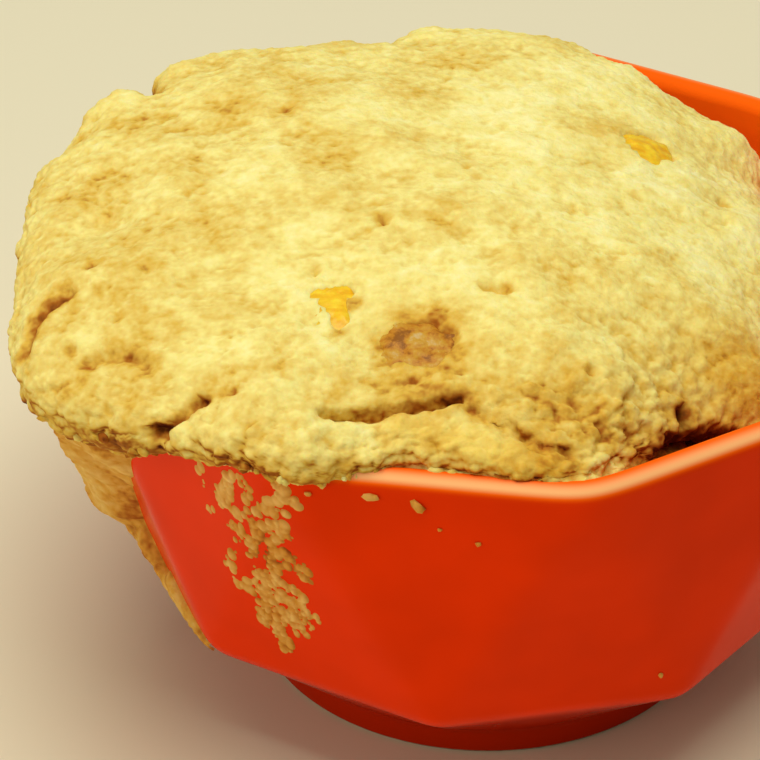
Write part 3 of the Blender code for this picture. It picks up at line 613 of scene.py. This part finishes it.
def near_path(points, path_mm, width_mm):
    """1 on a path of straight stretches, falling to 0 over a few widths to either side. The path's heights
    are counted from the rim."""
    path = np.array(path_mm) * MM + (0, 0, RIM_HEIGHT)
    nearest = np.full(points.shape[:-1], np.inf)
    for a, b in zip(path, path[1:]):
        along = np.clip(((points - a) @ (b - a)) / ((b - a) @ (b - a)), 0, 1)
        nearest = np.minimum(nearest, np.linalg.norm(points - a - along[..., None] * (b - a), axis=-1))
    return np.exp(-((nearest / (width_mm * MM)) ** 2))


def near_spot(points, x_mm, y_mm, width_mm, depth_mm=None):
    """1 at a place in plan, falling to 0 over an ellipse of these widths along X and Y."""
    across = (points[..., 0] / MM - x_mm) / width_mm
    along = (points[..., 1] / MM - y_mm) / (depth_mm or width_mm)
    return np.exp(-(across**2) - along**2)


def spots(points, rows):
    """The sum of spots, each as high as the last number of its row."""
    return sum(height * near_spot(points, *spot) for *spot, height in rows)


def blurred(values, reach):
    """The mean over a square of 2 x reach + 1 points each way, as running sums along rows and columns."""
    width = 2 * reach + 1
    for axis in (0, 1):
        pad = [(0, 0)] * values.ndim
        pad[axis] = (reach + 1, reach)
        total = np.cumsum(np.pad(values, pad, mode="edge"), axis=axis)
        ahead = np.take(total, np.arange(width, total.shape[axis]), axis=axis)
        behind = np.take(total, np.arange(0, total.shape[axis] - width), axis=axis)
        values = (ahead - behind) / width
    return values


def cake_surface(look):
    """The dome with its forms, in two layers. Swells, cracks and dents move the plain dome along its normals.
    Rounded lumps, granules and pores then move that surface along its own normals. Each lump is a cell of
    cellular noise, highest at its middle and creased where it meets the next. Also gives, for each point, its
    angle, its share of the way in, its normal, how hollow it lies, which paints shade in hollows and leaves
    high spots pale as painted light, how browned it is, with painted shade added, and how golden, with
    painted glow from the red wall added."""
    angle, share = square_to_disc(look.cells)
    plain = dome(angle, share)
    normals = surface_normals(plain)
    fade = MM * ramp(share, 0, EDGE_FADE)[..., None]
    wide, slight = (
        np.stack([lattice_noise(plain, spacing, seed + i) for i in range(3)], -1) * MM
        for spacing, seed in WANDERS
    )
    points = plain + 0.60 * wide + 0.35 * slight
    torn = near_spot(points, *TORN)
    move = layered(plain, SWELLS) + (TORN_ROUGH * lattice_noise(plain, *SWELLS[-1][1:]) - TORN_DEPTH) * torn
    cracks = np.zeros_like(move)
    for path, width, height, crack_shade in FORMS:
        near = near_path(points, path, width)
        move += height * near
        cracks = np.maximum(cracks, crack_shade * near**DARK_SPREAD)
    move -= spots(points, DENTS)
    brow = near_path(points, BROW, BROW_WIDTH)
    surface = plain + fade * (move[..., None] * normals + brow[..., None] * np.array(BROW_LEAN))

    # The crumb: lumpiest along the lip and low on the left, coarsest where it is torn.
    normals = surface_normals(surface)
    low_side = ramp(share, 0.45, 0.15)
    leftward = ramp(surface[..., 0] / MM, -5, -35)
    lumpy = 0.35 + 0.90 * np.maximum(low_side * leftward, near_path(points, LIP, LUMPY_LIP))
    rough = sum(near_spot(surface, *place) for place in COARSE)
    coarse = np.clip(0.28 + rough + 0.5 * near_path(points, LIP, COARSE_LIP) + 0.3 * low_side, 0, 1.3)
    lump, _ = grains(surface + 0.8 * wide, look.lump, seed=41)
    granule, granule_chance = grains(surface + 0.5 * slight, look.granule, seed=51)
    speck, _ = grains(surface, SPECK_SPACING, seed=61)
    pore, pore_chance = grains(surface + 0.4 * slight, PORE_SPACING, seed=71)
    pore_width = 0.10 + 0.13 * np.abs(lattice_noise(surface, 0.0090, seed=72))
    uneven = 0.45 + 1.1 * granule_chance
    fine = layered(surface, GRAIN) + LUMP_HEIGHT * lumpy * (cap(lump, LUMP_EDGE) - LUMP_UNDER)
    fine += GRANULE_HEIGHT * coarse * (uneven * cap(granule, GRANULE_EDGE) - GRANULE_UNDER)
    fine += SPECK_HEIGHT * (cap(speck, SPECK_EDGE) - SPECK_UNDER)
    fine -= PORE_DEPTH * np.exp(-((pore / pore_width) ** 2)) * (pore_chance < PORE_SHARE)
    holes = np.zeros_like(fine)
    for *spot, depth in PITS:
        near = near_spot(surface + 0.3 * slight, *spot)
        fine -= depth * near
        holes = np.maximum(holes, near * min(1, depth / PIT_DARK_FROM))
    ragged = (surface + 0.60 * wide + 0.45 * slight) / MM
    opening = np.zeros_like(fine)
    for x, y, half_width, depth in OPENINGS:
        away = np.hypot(ragged[..., 0] - x, ragged[..., 1] - y) - half_width
        opening = np.maximum(opening, depth * ramp(away, *OPENING_EDGE))
    fine -= opening
    final = surface + fade * fine[..., None] * normals

    # Its tones. Torn crumb browns most. Hollows, undersides, the bottoms of cracks and pits, the lip's lower
    # edge and the side by the wall's gap are browned as painted shade, high spots stay pale as painted light,
    # and the right side takes painted glow from the red wall.
    turned = surface_normals(final)
    # Hollows found in the mesh darken the sponge as painted shade, and high spots, where this comes out low,
    # stay pale as painted light.
    hollow = 0.5
    for reach, weight in HOLLOWS:
        hollow = hollow + weight * np.sum((blurred(final, reach) - final) * turned, -1) / MM
    # The floors of cracks and pits are darkened as painted shade.
    in_crack = 0.5 + 0.5 * np.maximum(cracks, holes) * ramp(share, 0, 0.2)
    hollow = np.maximum(np.clip(hollow, 0, HOLLOWEST), in_crack)
    # Painted shade: undersides, the side by the wall's gap and the lip's lower edge are browned, and the
    # lip's lower edge made more golden too, for the shade on them.
    facing_down = ramp(turned[..., 2], 0.35, -0.55)
    side_gap = ramp(surface[..., 0] / MM, 18, 28) * ramp(share, 0.30, 0.10)
    foot = near_path(points, LIP_FOOT, FOOT_WIDTH)
    bake_and_shade = 0.88 * facing_down + 0.10 * torn + 0.16 * np.clip(rough, 0, 1) + 0.5 * side_gap + 0.12 * opening
    bake_and_shade += 0.45 * (cracks + holes) + 0.32 * foot + spots(points, BAKED_AND_SHADED)
    # Gold takes the painted glow of the red wall as well as golden crust.
    gold_and_glow = near_path(points, GOLD, GOLD_WIDTH) + 0.8 * foot + spots(points, GILDED_AND_GLOWING)
    return angle, share, final, turned, hollow, np.clip(bake_and_shade, -1, 1), np.clip(gold_and_glow, 0, 1)


def surface_at(place_mm):
    """The point of the plain dome over a place in plan, and its normal there."""
    angle, share = square_to_disc(160)
    points = dome(angle, share)
    away = np.hypot(points[..., 0] - place_mm[0] * MM, points[..., 1] - place_mm[1] * MM)
    away = np.where(share > UNDERCUT, away, 1)
    nearest = np.unravel_index(away.argmin(), away.shape)
    return points[nearest], surface_normals(points)[nearest]


def set_piece(place_mm, size_mm, sunk_mm, turn_degrees, seed, crumbly):
    """A rounded block set under the surface and level with it: a ball pushed out towards a box by a power
    mean of its sides, made uneven by noise and, where it is crumbly, covered in small lumps."""
    points, triangles = ball(BLOCK_ROWS, BLOCK_COLUMNS)
    boxy = points / np.sum(abs(points) ** BLOCK_POWER, axis=-1, keepdims=True) ** (1 / BLOCK_POWER)
    uneven = 1 + layered(boxy, BLOCK_UNEVEN, seed) + crumbly * (0.5 - grains(boxy, BLOCK_CRUMB, seed + 3)[0])
    block = boxy * uneven[:, None] * np.array(size_mm) * MM / 2
    surface, upward = surface_at(place_mm)
    turn = math.radians(turn_degrees)
    aside = np.cross(upward, (math.cos(turn), math.sin(turn), 0))
    aside /= np.linalg.norm(aside)
    ahead = np.cross(aside, upward)
    return block @ np.array([ahead, aside, upward]) + surface - sunk_mm * MM * upward, triangles


def wall_patch(degrees, heights, step_mm, thickness):
    """A skin over part of the wall's outside: thickness(angle, height) is how far it stands out, in metres.
    Where that is negative it lies under the glaze, and squares that lie there wholly are left out."""
    columns = int(math.radians(degrees[1] - degrees[0]) * RIM_RADIUS / (step_mm * MM)) + 2
    rows = int((heights[1] - heights[0]) / step_mm) + 2
    angle, height = np.meshgrid(
        np.radians(np.linspace(*degrees, columns)), np.linspace(*heights, rows) * MM, indexing="ij"
    )
    out = thickness(angle, height)
    points = polar(wall_radius(angle, height) + np.maximum(out, -SKIN_LOWEST), angle, height)
    shown = np.max(square_corners(out), axis=0) > -SKIN_MADE
    a, b, c, d = (corner[shown] for corner in square_corners(np.arange(angle.size).reshape(angle.shape)))
    triangles = np.concatenate([np.stack([a, b, c], -1), np.stack([a, c, d], -1)])
    used, compact = np.unique(triangles, return_inverse=True)
    return points.reshape(-1, 3)[used], compact.reshape(-1, 3), out.ravel()[used]


def fleck_cover(across_mm, up_mm):
    """How well the flecks cover a place on the wall: their thickness in mm along their middles, falling to 0
    at their edges and below that outside."""
    cover = np.full(across_mm.shape, -1.0)
    for *ends, half, thick in FLECKS:
        (left, low), (right, high) = ((math.radians(degrees) * RIM_RADIUS / MM, up) for degrees, up in ends)
        run, rise = right - left, high - low
        along = ((across_mm - left) * run + (up_mm - low) * rise) / max(run**2 + rise**2, 0.01)
        along = np.clip(along, 0, 1)
        away = np.hypot(across_mm - left - along * run, up_mm - low - along * rise)
        cover = np.maximum(cover, thick * (1 - (away / (half + FLECK_SOFT)) ** 2))
    return cover


def fleck_thickness(angle, height):
    """Crumbs stuck side by side: one at a random place in each square of a grid, kept where the flecks cover
    its middle. Each is a low dome, and a thin film joins them."""
    across, up = angle * RIM_RADIUS / MM, height / MM
    base = np.floor(np.stack([across, up, 0 * up], -1) / FLECK_CRUMB).astype(np.int64)
    out = np.full(angle.shape, -1.0)
    for step in np.ndindex(5, 5):
        cell = base + np.array([step[0] - 2, step[1] - 2, 0])
        middle = [(cell[..., i] + hashed(cell, 81 + i)) * FLECK_CRUMB for i in (0, 1)]
        cover = fleck_cover(*middle)
        chance = hashed(cell, 84)
        radius = FLECK_CRUMB * (0.35 + 1.15 * chance**2)
        squat = 0.75 + 0.5 * hashed(cell, 86)
        away = np.hypot(across - middle[0], (up - middle[1]) * squat)
        high = (0.16 + 0.42 * chance) * np.clip(0.4 + cover, 0.3, 1)
        crumb = high * (1 - (away / radius) ** 2)
        out = np.where((cover > 0) & (hashed(cell, 85) < CRUMBS_KEPT), np.maximum(out, crumb), out)
    film = FILM[0] * fleck_cover(across, up) + FILM[1] + layered(polar(RIM_RADIUS, angle, height), FILM_GRAIN)
    return np.maximum(out, film) * MM


def left_run_thickness(angle, height):
    """A run of batter whose middle, half width and thickness change with height. It is rounded across, lumpy
    like the sponge above it, and ragged along its sides and its lower end."""
    keys = np.array(LEFT_RUN)[::-1]
    place = polar(RIM_RADIUS, angle, height)
    tongues = layered(place * (1, 1, TONGUES_TALL), TONGUES)
    up = height / MM + tongues * ramp(height / MM, *TONGUES_UP)
    middle, half, thick = (np.interp(up, keys[:, 1], keys[:, i]) for i in (0, 2, 3))
    away = abs((angle - np.radians(middle)) * RIM_RADIUS / MM + layered(place, RUN_RAGGED)) / half
    body = thick * np.clip(1 - away**2, -1, 1)
    lumps = sum(rise * (0.5 - grains(place, spacing, seed)[0]) for rise, spacing, seed in RUN_LUMPS)
    body += lumps * smooth_step((body - 0.5) / 3)
    rise, *crumb = RUN_CRUMB
    body += rise * (0.5 - grains(place, *crumb)[0]) * smooth_step(body + 0.3)
    return np.where((away > 2) | (up < keys[0, 1]), -1.0, body) * MM


def crumb_cloud(places, sizes, turns, seed):
    """Many crumbs as one mesh: a coarse ball made uneven, stretched, turned and moved to each place."""
    points, triangles = ball(CRUMB_ROWS, CRUMB_COLUMNS)
    number = np.arange(len(places))[:, None, None]
    uneven = 1 + layered(points + number * CRUMBS_APART, CRUMB_UNEVEN, seed)
    shaped = points * uneven[..., None] * sizes[:, None, :]
    moved = np.einsum("nij,npj->npi", turns, shaped) + places[:, None, :]
    return moved.reshape(-1, 3), (triangles + len(points) * number).reshape(-1, 3)


def random_turns(rng, count):
    """Random rotations, from unit quaternions."""
    drawn = rng.normal(size=(4, count))
    w, x, y, z = drawn / np.linalg.norm(drawn, axis=0)
    rows = (
        (1 - 2 * (y * y + z * z), 2 * (x * y - w * z), 2 * (x * z + w * y)),
        (2 * (x * y + w * z), 1 - 2 * (x * x + z * z), 2 * (y * z - w * x)),
        (2 * (x * z - w * y), 2 * (y * z + w * x), 1 - 2 * (x * x + y * y)),
    )
    return np.moveaxis(np.array(rows), -1, 0)


def per_mm(spacing):
    """Scale of a procedural pattern whose features lie this many millimetres apart."""
    return 1 / (spacing * MM)


def add(tree, kind, inputs=None, stops=(), out=0, **settings):
    """Adds a node and gives one of its outputs. inputs gives its sockets, by name or number, a value or
    another node's output to link to; stops are a colour ramp's (place, colour) pairs, its two ends first; out
    is the output's name or number; and settings are the node's own properties."""
    node = tree.nodes.new("ShaderNode" + kind)
    for name, value in settings.items():
        setattr(node, name, value)
    for socket, value in (inputs or {}).items():
        if isinstance(value, bpy.types.NodeSocket):
            tree.links.new(value, node.inputs[socket])
        else:
            node.inputs[socket].default_value = value
    for i, (place, colour) in enumerate(stops):
        points = node.color_ramp.elements
        point = points[i] if i < 2 else points.new(place)
        point.position = place
        point.color = colour
    return node.outputs[out] if node.outputs else None


def new_finish(name):
    """An empty material, and its tree."""
    finish = bpy.data.materials.new(name)
    finish.use_nodes = True
    finish.node_tree.nodes.clear()
    return finish, finish.node_tree


def stoneware_glaze(look):
    """Stoneware dipped in a red-orange gloss glaze. The glaze is lighter where it thins over the rim, and
    there a painted highlight also stands for the light the lip catches; it is painted lighter down the inside
    as painted light, painted darker below the lower edge as painted shade, and is wiped off the ring that it
    was fired on. Its surface waves gently every 9 mm or so, and its IOR is low because the real glaze
    reflects little."""
    finish, tree = new_finish("red_orange_glazed_stoneware")
    place = add(tree, "TexCoord", out="Object")
    thin, bare, underside_shade = (
        add(tree, "Attribute", out="Fac", attribute_name=name) for name in ("thin", "bare", "underside_shade")
    )
    cloud, grit, wave = (
        add(tree, "TexNoise", {"Vector": place, "Scale": per_mm(spacing), "Detail": detail})
        for spacing, detail in ((14, 2.0), (0.7, 3.0), (9, 1.0))
    )
    shade = {"Value": cloud, "From Min": 0.3, "From Max": 0.7, "To Min": 0.93, "To Max": 1.05}
    colour = add(tree, "HueSaturation", {"Color": look.glaze, "Value": add(tree, "MapRange", shade)})
    # In turn: painted shade low down, the lighter inside as painted light, the pale rim as thin glaze and a
    # painted highlight, and the bare clay.
    for share, over in (
        (underside_shade, look.underside_shade_glaze),
        (add(tree, "MapRange", {"Value": thin, "From Max": INSIDE_PALE}), look.inside_glaze),
        (add(tree, "MapRange", {"Value": thin, "From Min": INSIDE_PALE}), look.rim_glaze_and_highlight),
        (bare, add(tree, "HueSaturation", {"Color": look.clay, "Value": grit})),
    ):
        colour = add(tree, "Mix", {0: share, 6: colour, 7: over}, out=2, data_type="RGBA")
    shader = {
        "Base Color": colour,
        "Roughness": add(tree, "MapRange", {"Value": bare, "To Min": 0.22, "To Max": 0.75}),
        "Normal": add(tree, "Bump", {"Height": wave, "Strength": 0.35, "Distance": 0.25 * MM}),
        "IOR": 1.10,
        "Specular Tint": linear("#FF6A20"),
    }
    add(tree, "OutputMaterial", {"Surface": add(tree, "BsdfPrincipled", shader)})
    return finish


def sponge(look, name, gilding):
    """Sponge cake: an egg and flour foam that set as it rose. High spots are painted pale as painted light;
    hollows, cracks and undersides are painted brown as painted shade, besides the crust that really browned;
    and its pores lie 1.4 mm apart. Where it is golden it takes on the gilding, which by the wall on the right
    is painted glow from the red glaze."""
    finish, tree = new_finish(name)
    place = add(tree, "TexCoord", out="Object")
    hollow, bake_and_shade, gold_and_glow = (
        add(tree, "Attribute", out="Fac", attribute_name=key) for key in ("hollow", "bake_and_shade", "gold_and_glow")
    )
    cloud, freckle, speckle, grain = (
        add(tree, "TexNoise", {"Vector": place, "Scale": per_mm(apart), "Detail": detail, "Roughness": rough})
        for apart, detail, rough in ((11, 3.0, 0.55), (2.6, 2.0, 0.6), (1.2, 1.0, 0.5), (0.9, 3.0, 0.65))
    )
    # Hollow and bake darken the tone, for painted shade as well as browning.
    tone = -0.72
    for value, weight in ((cloud, 0.75), (freckle, 0.50), (hollow, 0.56), (bake_and_shade, 0.42), (speckle, 0.30)):
        tone = add(tree, "Math", {0: value, 1: weight, 2: tone}, operation="MULTIPLY_ADD")
    stops = (
        (0.08, look.pale), (0.95, look.crack_shade), (0.30, look.crust), (0.60, look.golden), (0.78, look.brown)
    )
    plain = add(tree, "ValToRGB", {"Fac": tone}, stops)
    rich = add(tree, "Math", {0: gold_and_glow, 1: 0.55}, operation="MULTIPLY")
    gilded = {0: rich, 6: plain, 7: linear(gilding)}
    pores = add(tree, "TexVoronoi", {"Vector": place, "Scale": per_mm(1.4)})
    pores = add(tree, "MapRange", {"Value": pores, "From Max": 0.35})
    height = add(tree, "Math", {0: pores, 1: 0.5, 2: grain}, operation="MULTIPLY_ADD")
    shader = {
        "Base Color": add(tree, "Mix", gilded, out=2, data_type="RGBA", blend_type="MULTIPLY"),
        "Roughness": 0.85,
        "IOR": 1.35,
        "Specular IOR Level": 0.25,
        "Normal": add(tree, "Bump", {"Height": height, "Strength": 0.6, "Distance": 0.35 * MM}),
        "Subsurface Weight": 0.28,
        "Subsurface Radius": (1.0, 0.55, 0.2),
        "Subsurface Scale": 1.6 * MM,
    }
    add(tree, "OutputMaterial", {"Surface": add(tree, "BsdfPrincipled", shader)})
    return finish


def ripe_flesh(look):
    """Ripe yellow fruit: wet flesh that lets light in. Its fibres lie 1 to 2 mm apart, so that they show."""
    finish, tree = new_finish("ripe_yellow_fruit_flesh")
    place = add(tree, "TexCoord", out="Object")
    stretch = add(tree, "Mapping", {"Vector": place, "Scale": (1.0, 2.2, 2.2)})
    fibres = add(tree, "TexNoise", {"Vector": stretch, "Scale": per_mm(2.4), "Detail": 3.0})
    stops = ((0.25, linear("#E6A614")), (0.72, linear("#FAD834")), (0.46, look.fruit))
    shader = {
        "Base Color": add(tree, "ValToRGB", {"Fac": fibres}, stops),
        "Roughness": 0.35,
        "IOR": 1.36,
        "Normal": add(tree, "Bump", {"Height": fibres, "Strength": 0.25, "Distance": 0.3 * MM}),
        "Subsurface Weight": 0.35,
        "Subsurface Radius": (1.0, 0.6, 0.1),
        "Subsurface Scale": 2.0 * MM,
        "Coat Weight": 0.1,
        "Coat Roughness": 0.25,
    }
    add(tree, "OutputMaterial", {"Surface": add(tree, "BsdfPrincipled", shader)})
    return finish


def caramelised_fruit(look):
    """Fruit that shrank and caramelised at the surface: brown to golden, with pale dried patches every 2 mm
    or so and a thin dull skin."""
    finish, tree = new_finish("caramelised_fruit")
    place = add(tree, "TexCoord", out="Object")
    patches = {"Vector": place, "Scale": per_mm(2.3), "Detail": 4.0, "Roughness": 0.65}
    wrinkle = add(tree, "TexNoise", {"Vector": place, "Scale": per_mm(1.8), "Detail": 3.0})
    stops = (
        (0.36, linear("#8E560A")), (0.74, linear("#CFB684")), (0.46, look.browned), (0.58, linear("#C8982E"))
    )
    shader = {
        "Base Color": add(tree, "ValToRGB", {"Fac": add(tree, "TexNoise", patches)}, stops),
        "Roughness": 0.55,
        "IOR": 1.45,
        "Specular IOR Level": 0.25,
        "Normal": add(tree, "Bump", {"Height": wrinkle, "Strength": 0.6, "Distance": 0.5 * MM}),
        "Coat Weight": 0.08,
        "Coat Roughness": 0.3,
    }
    add(tree, "OutputMaterial", {"Surface": add(tree, "BsdfPrincipled", shader)})
    return finish


class MUGCAKE_OT_bowl(bpy.types.Operator):
    """Makes the glazed bowl"""

    bl_idname = "mugcake.bowl"
    bl_label = "Glazed bowl"

    def execute(self, context):
        look = context.scene.mug_cake_bowl
        points, triangles, glazing = bowl_surface(look.columns_a_side)
        finish = stoneware_glaze(look)
        mesh_object("glazed_bowl", points, triangles, finish, "red_orange_glaze", ["bowl"], **glazing)
        return {"FINISHED"}


class MUGCAKE_OT_cake(bpy.types.Operator):
    """Makes the sponge, from the wall up to its crown"""

    bl_idname = "mugcake.cake"
    bl_label = "Sponge"

    def execute(self, context):
        look = context.scene.mug_cake_cake
        _, _, points, _, hollow, bake_and_shade, gold_and_glow = cake_surface(look)
        finish = sponge(look, "golden_sponge_cake", "#F3CE46")
        tones = {"hollow": hollow, "bake_and_shade": bake_and_shade, "gold_and_glow": gold_and_glow}
        mesh_object("sponge", points, split_short(points), finish, "golden_sponge", ["cake"], **tones)
        return {"FINISHED"}


class MUGCAKE_OT_batter(bpy.types.Operator):
    """Makes the batter that ran down the outside and baked on"""

    bl_idname = "mugcake.batter"
    bl_label = "Baked-on batter"

    def execute(self, context):
        # A thin skin of batter on the hot glaze browned all through, and lets a little of the red show.
        finish = sponge(context.scene.mug_cake_cake, "baked_on_batter", "#F08A40")
        skins = (fleck_thickness, left_run_thickness)
        for thickness, (piece, degrees, heights, step, full, *tones) in zip(skins, BATTER):
            points, triangles, out = wall_patch(degrees, heights, step, thickness)
            high = np.clip(out / (full * MM), 0, 1)
            hollow, bake_and_shade, gold_and_glow = (thinnest + more * high for thinnest, more in tones)
            tones = {"hollow": hollow, "bake_and_shade": bake_and_shade, "gold_and_glow": gold_and_glow}
            mesh_object(piece, points, triangles, finish, "golden_sponge", **tones)
        return {"FINISHED"}


class MUGCAKE_OT_fruit(bpy.types.Operator):
    """Makes the two yellow fruit pieces and the browned one"""

    bl_idname = "mugcake.fruit"
    bl_label = "Fruit"

    def execute(self, context):
        look = context.scene.mug_cake_filling
        finishes = {"yellow_fruit": ripe_flesh(look), "browned_fruit": caramelised_fruit(look)}
        for piece, node, slot, *where in FRUIT:
            points, triangles = set_piece(*where)
            mesh_object(piece, points, triangles, finishes[slot], slot, [node])
        return {"FINISHED"}


class MUGCAKE_OT_crumbs(bpy.types.Operator):
    """Makes the crumbs along the lip and on the wall"""

    bl_idname = "mugcake.crumbs"
    bl_label = "Loose crumbs"

    def execute(self, context):
        count = context.scene.mug_cake_filling.crumbs
        rng = np.random.default_rng(7)
        angle, share, points, normals, *_ = cake_surface(context.scene.mug_cake_cake)
        degrees = np.degrees(np.mod(angle + math.pi, TURN) - math.pi)
        (left, right), (out, inward) = LIP_CRUMBS_ROUND, LIP_CRUMBS_IN
        front = (degrees > left) & (degrees < right) & (share > out) & (share < inward)
        chosen = rng.choice(np.flatnonzero(front.ravel()), count, replace=False)
        size = rng.uniform(*LIP_CRUMB_MM, (count, 1)) ** LIP_CRUMB_SMALLER * MM
        size = size * rng.uniform(*LIP_CRUMB_STRETCH, (count, 3))
        places = points.reshape(-1, 3)[chosen] - normals.reshape(-1, 3)[chosen] * LIP_CRUMB_SUNK * MM
        cloud, triangles = crumb_cloud(places, size, random_turns(rng, count), 5)
        finish = bpy.data.materials["golden_sponge_cake"]
        tone = np.repeat(rng.uniform(*LIP_CRUMB_TONE, count), len(cloud) // count)
        tones = {"hollow": tone, "bake_and_shade": 0.25 + 0.7 * tone, "gold_and_glow": 0.2 + 0.6 * tone}
        mesh_object("lip_crumbs", cloud, triangles, finish, "golden_sponge", **tones)

        turn, height, length, width, tilt = np.array(WALL_CRUMBS, float).T
        turn, height, tilt = np.radians(turn), height * MM, np.radians(tilt)[:, None]
        places = polar(wall_radius(turn, height) + WALL_CRUMB_OUT * MM, turn, height)
        outward = polar(1.0, turn, 0)
        aside = polar(1.0, turn + math.pi / 2, 0)
        upward = np.cross(aside, outward)
        long_way = np.cos(tilt) * aside + np.sin(tilt) * upward
        turns = np.stack([long_way, np.cross(outward, long_way), outward], -1)
        size = np.stack([length, width, WALL_CRUMB_FLAT * width], -1) * MM / 2
        cloud, triangles = crumb_cloud(places, size, turns, 6)
        finish = bpy.data.materials["baked_on_batter"]
        tone = np.full(len(cloud), WALL_CRUMB_TONE)
        tones = {"hollow": 1.2 * tone, "bake_and_shade": tone, "gold_and_glow": 2 * tone}
        mesh_object("wall_crumbs", cloud, triangles, finish, "golden_sponge", **tones)
        return {"FINISHED"}


class MUGCAKE_OT_stage(bpy.types.Operator):
    """Makes the table, the soft studio light and the camera"""

    bl_idname = "mugcake.stage"
    bl_label = "Stage"

    def execute(self, context):
        look = context.scene.mug_cake_stage
        scene = context.scene
        # Matt paint: an even colour that scatters light and hardly shines.
        finish, tree = new_finish("matt_painted_table")
        shader = {"Base Color": look.floor, "Roughness": 0.85, "Specular IOR Level": 0.2}
        add(tree, "OutputMaterial", {"Surface": add(tree, "BsdfPrincipled", shader)})
        corners = [(x * TABLE_HALF, y * TABLE_HALF, 0) for x, y in ((-1, -1), (1, -1), (1, 1), (-1, 1))]
        mesh = bpy.data.meshes.new("table")
        mesh.from_pydata(corners, [], [(0, 1, 2, 3)])
        mesh.materials.append(finish)
        table = bpy.data.objects.new("table", mesh)
        scene.collection.objects.link(table)

        world = bpy.data.worlds.new("even_light")
        scene.world = world
        world.use_nodes = True
        sky = world.node_tree.nodes["Background"]
        sky.inputs["Color"].default_value = linear("#FFF2E2")
        sky.inputs["Strength"].default_value = look.sky
        for name, place, side, power, tint in (
            ("key", (-0.02, -0.04, 0.95), 0.75, look.key_power, "#FFFDEE"),
            ("fill", (-0.88, -0.54, 0.34), 0.80, look.fill_power, "#FFF1DC"),
        ):
            lamp = bpy.data.lights.new(name, "AREA")
            lamp.size = side
            lamp.energy = power
            lamp.color = linear(tint)[:3]
            light = bpy.data.objects.new(name, lamp)
            light.location = place
            away = np.array(place) - LIT_AT
            lean = math.acos(away[2] / np.linalg.norm(away))
            light.rotation_euler = (lean, 0, math.atan2(away[1], away[0]) + math.pi / 2)
            scene.collection.objects.link(light)

        lens = bpy.data.cameras.new("camera")
        lens.sensor_width = SENSOR
        lens.lens = LENS
        camera = bpy.data.objects.new("camera", lens)
        camera.location = CAMERA_PLACE
        camera.rotation_euler = (math.pi / 2 - CAMERA_DOWN, 0, 0)
        scene.collection.objects.link(camera)
        scene.camera = camera
        scene.view_settings.view_transform = "Standard"
        return {"FINISHED"}


STEPS = (
    MUGCAKE_OT_stage,
    MUGCAKE_OT_bowl,
    MUGCAKE_OT_cake,
    MUGCAKE_OT_batter,
    MUGCAKE_OT_fruit,
    MUGCAKE_OT_crumbs,
)
SETTINGS = {
    "mug_cake_bowl": MUGCAKE_BowlSettings,
    "mug_cake_cake": MUGCAKE_CakeSettings,
    "mug_cake_filling": MUGCAKE_FillingSettings,
    "mug_cake_stage": MUGCAKE_StageSettings,
}


class MUGCAKE_PT_panel(bpy.types.Panel):
    """Lists the settings and the steps that use them"""

    bl_label = "Mug cake"
    bl_space_type = "VIEW_3D"
    bl_region_type = "UI"
    bl_category = "Mug cake"

    def draw(self, context):
        for name, group in SETTINGS.items():
            box = self.layout.box()
            for key in group.__annotations__:
                box.prop(getattr(context.scene, name), key)
        for step in STEPS:
            self.layout.operator(step.bl_idname)


CLASSES = (*SETTINGS.values(), *STEPS, MUGCAKE_PT_panel)


def register():
    for item in CLASSES:
        bpy.utils.register_class(item)
    for name, group in SETTINGS.items():
        setattr(bpy.types.Scene, name, PointerProperty(type=group))


def unregister():
    for name in SETTINGS:
        delattr(bpy.types.Scene, name)
    for item in reversed(CLASSES):
        bpy.utils.unregister_class(item)


def main():
    register()
    for step in STEPS:
        family, name = step.bl_idname.split(".")
        getattr(getattr(bpy.ops, family), name)()


if __name__ == "__main__":
    main()
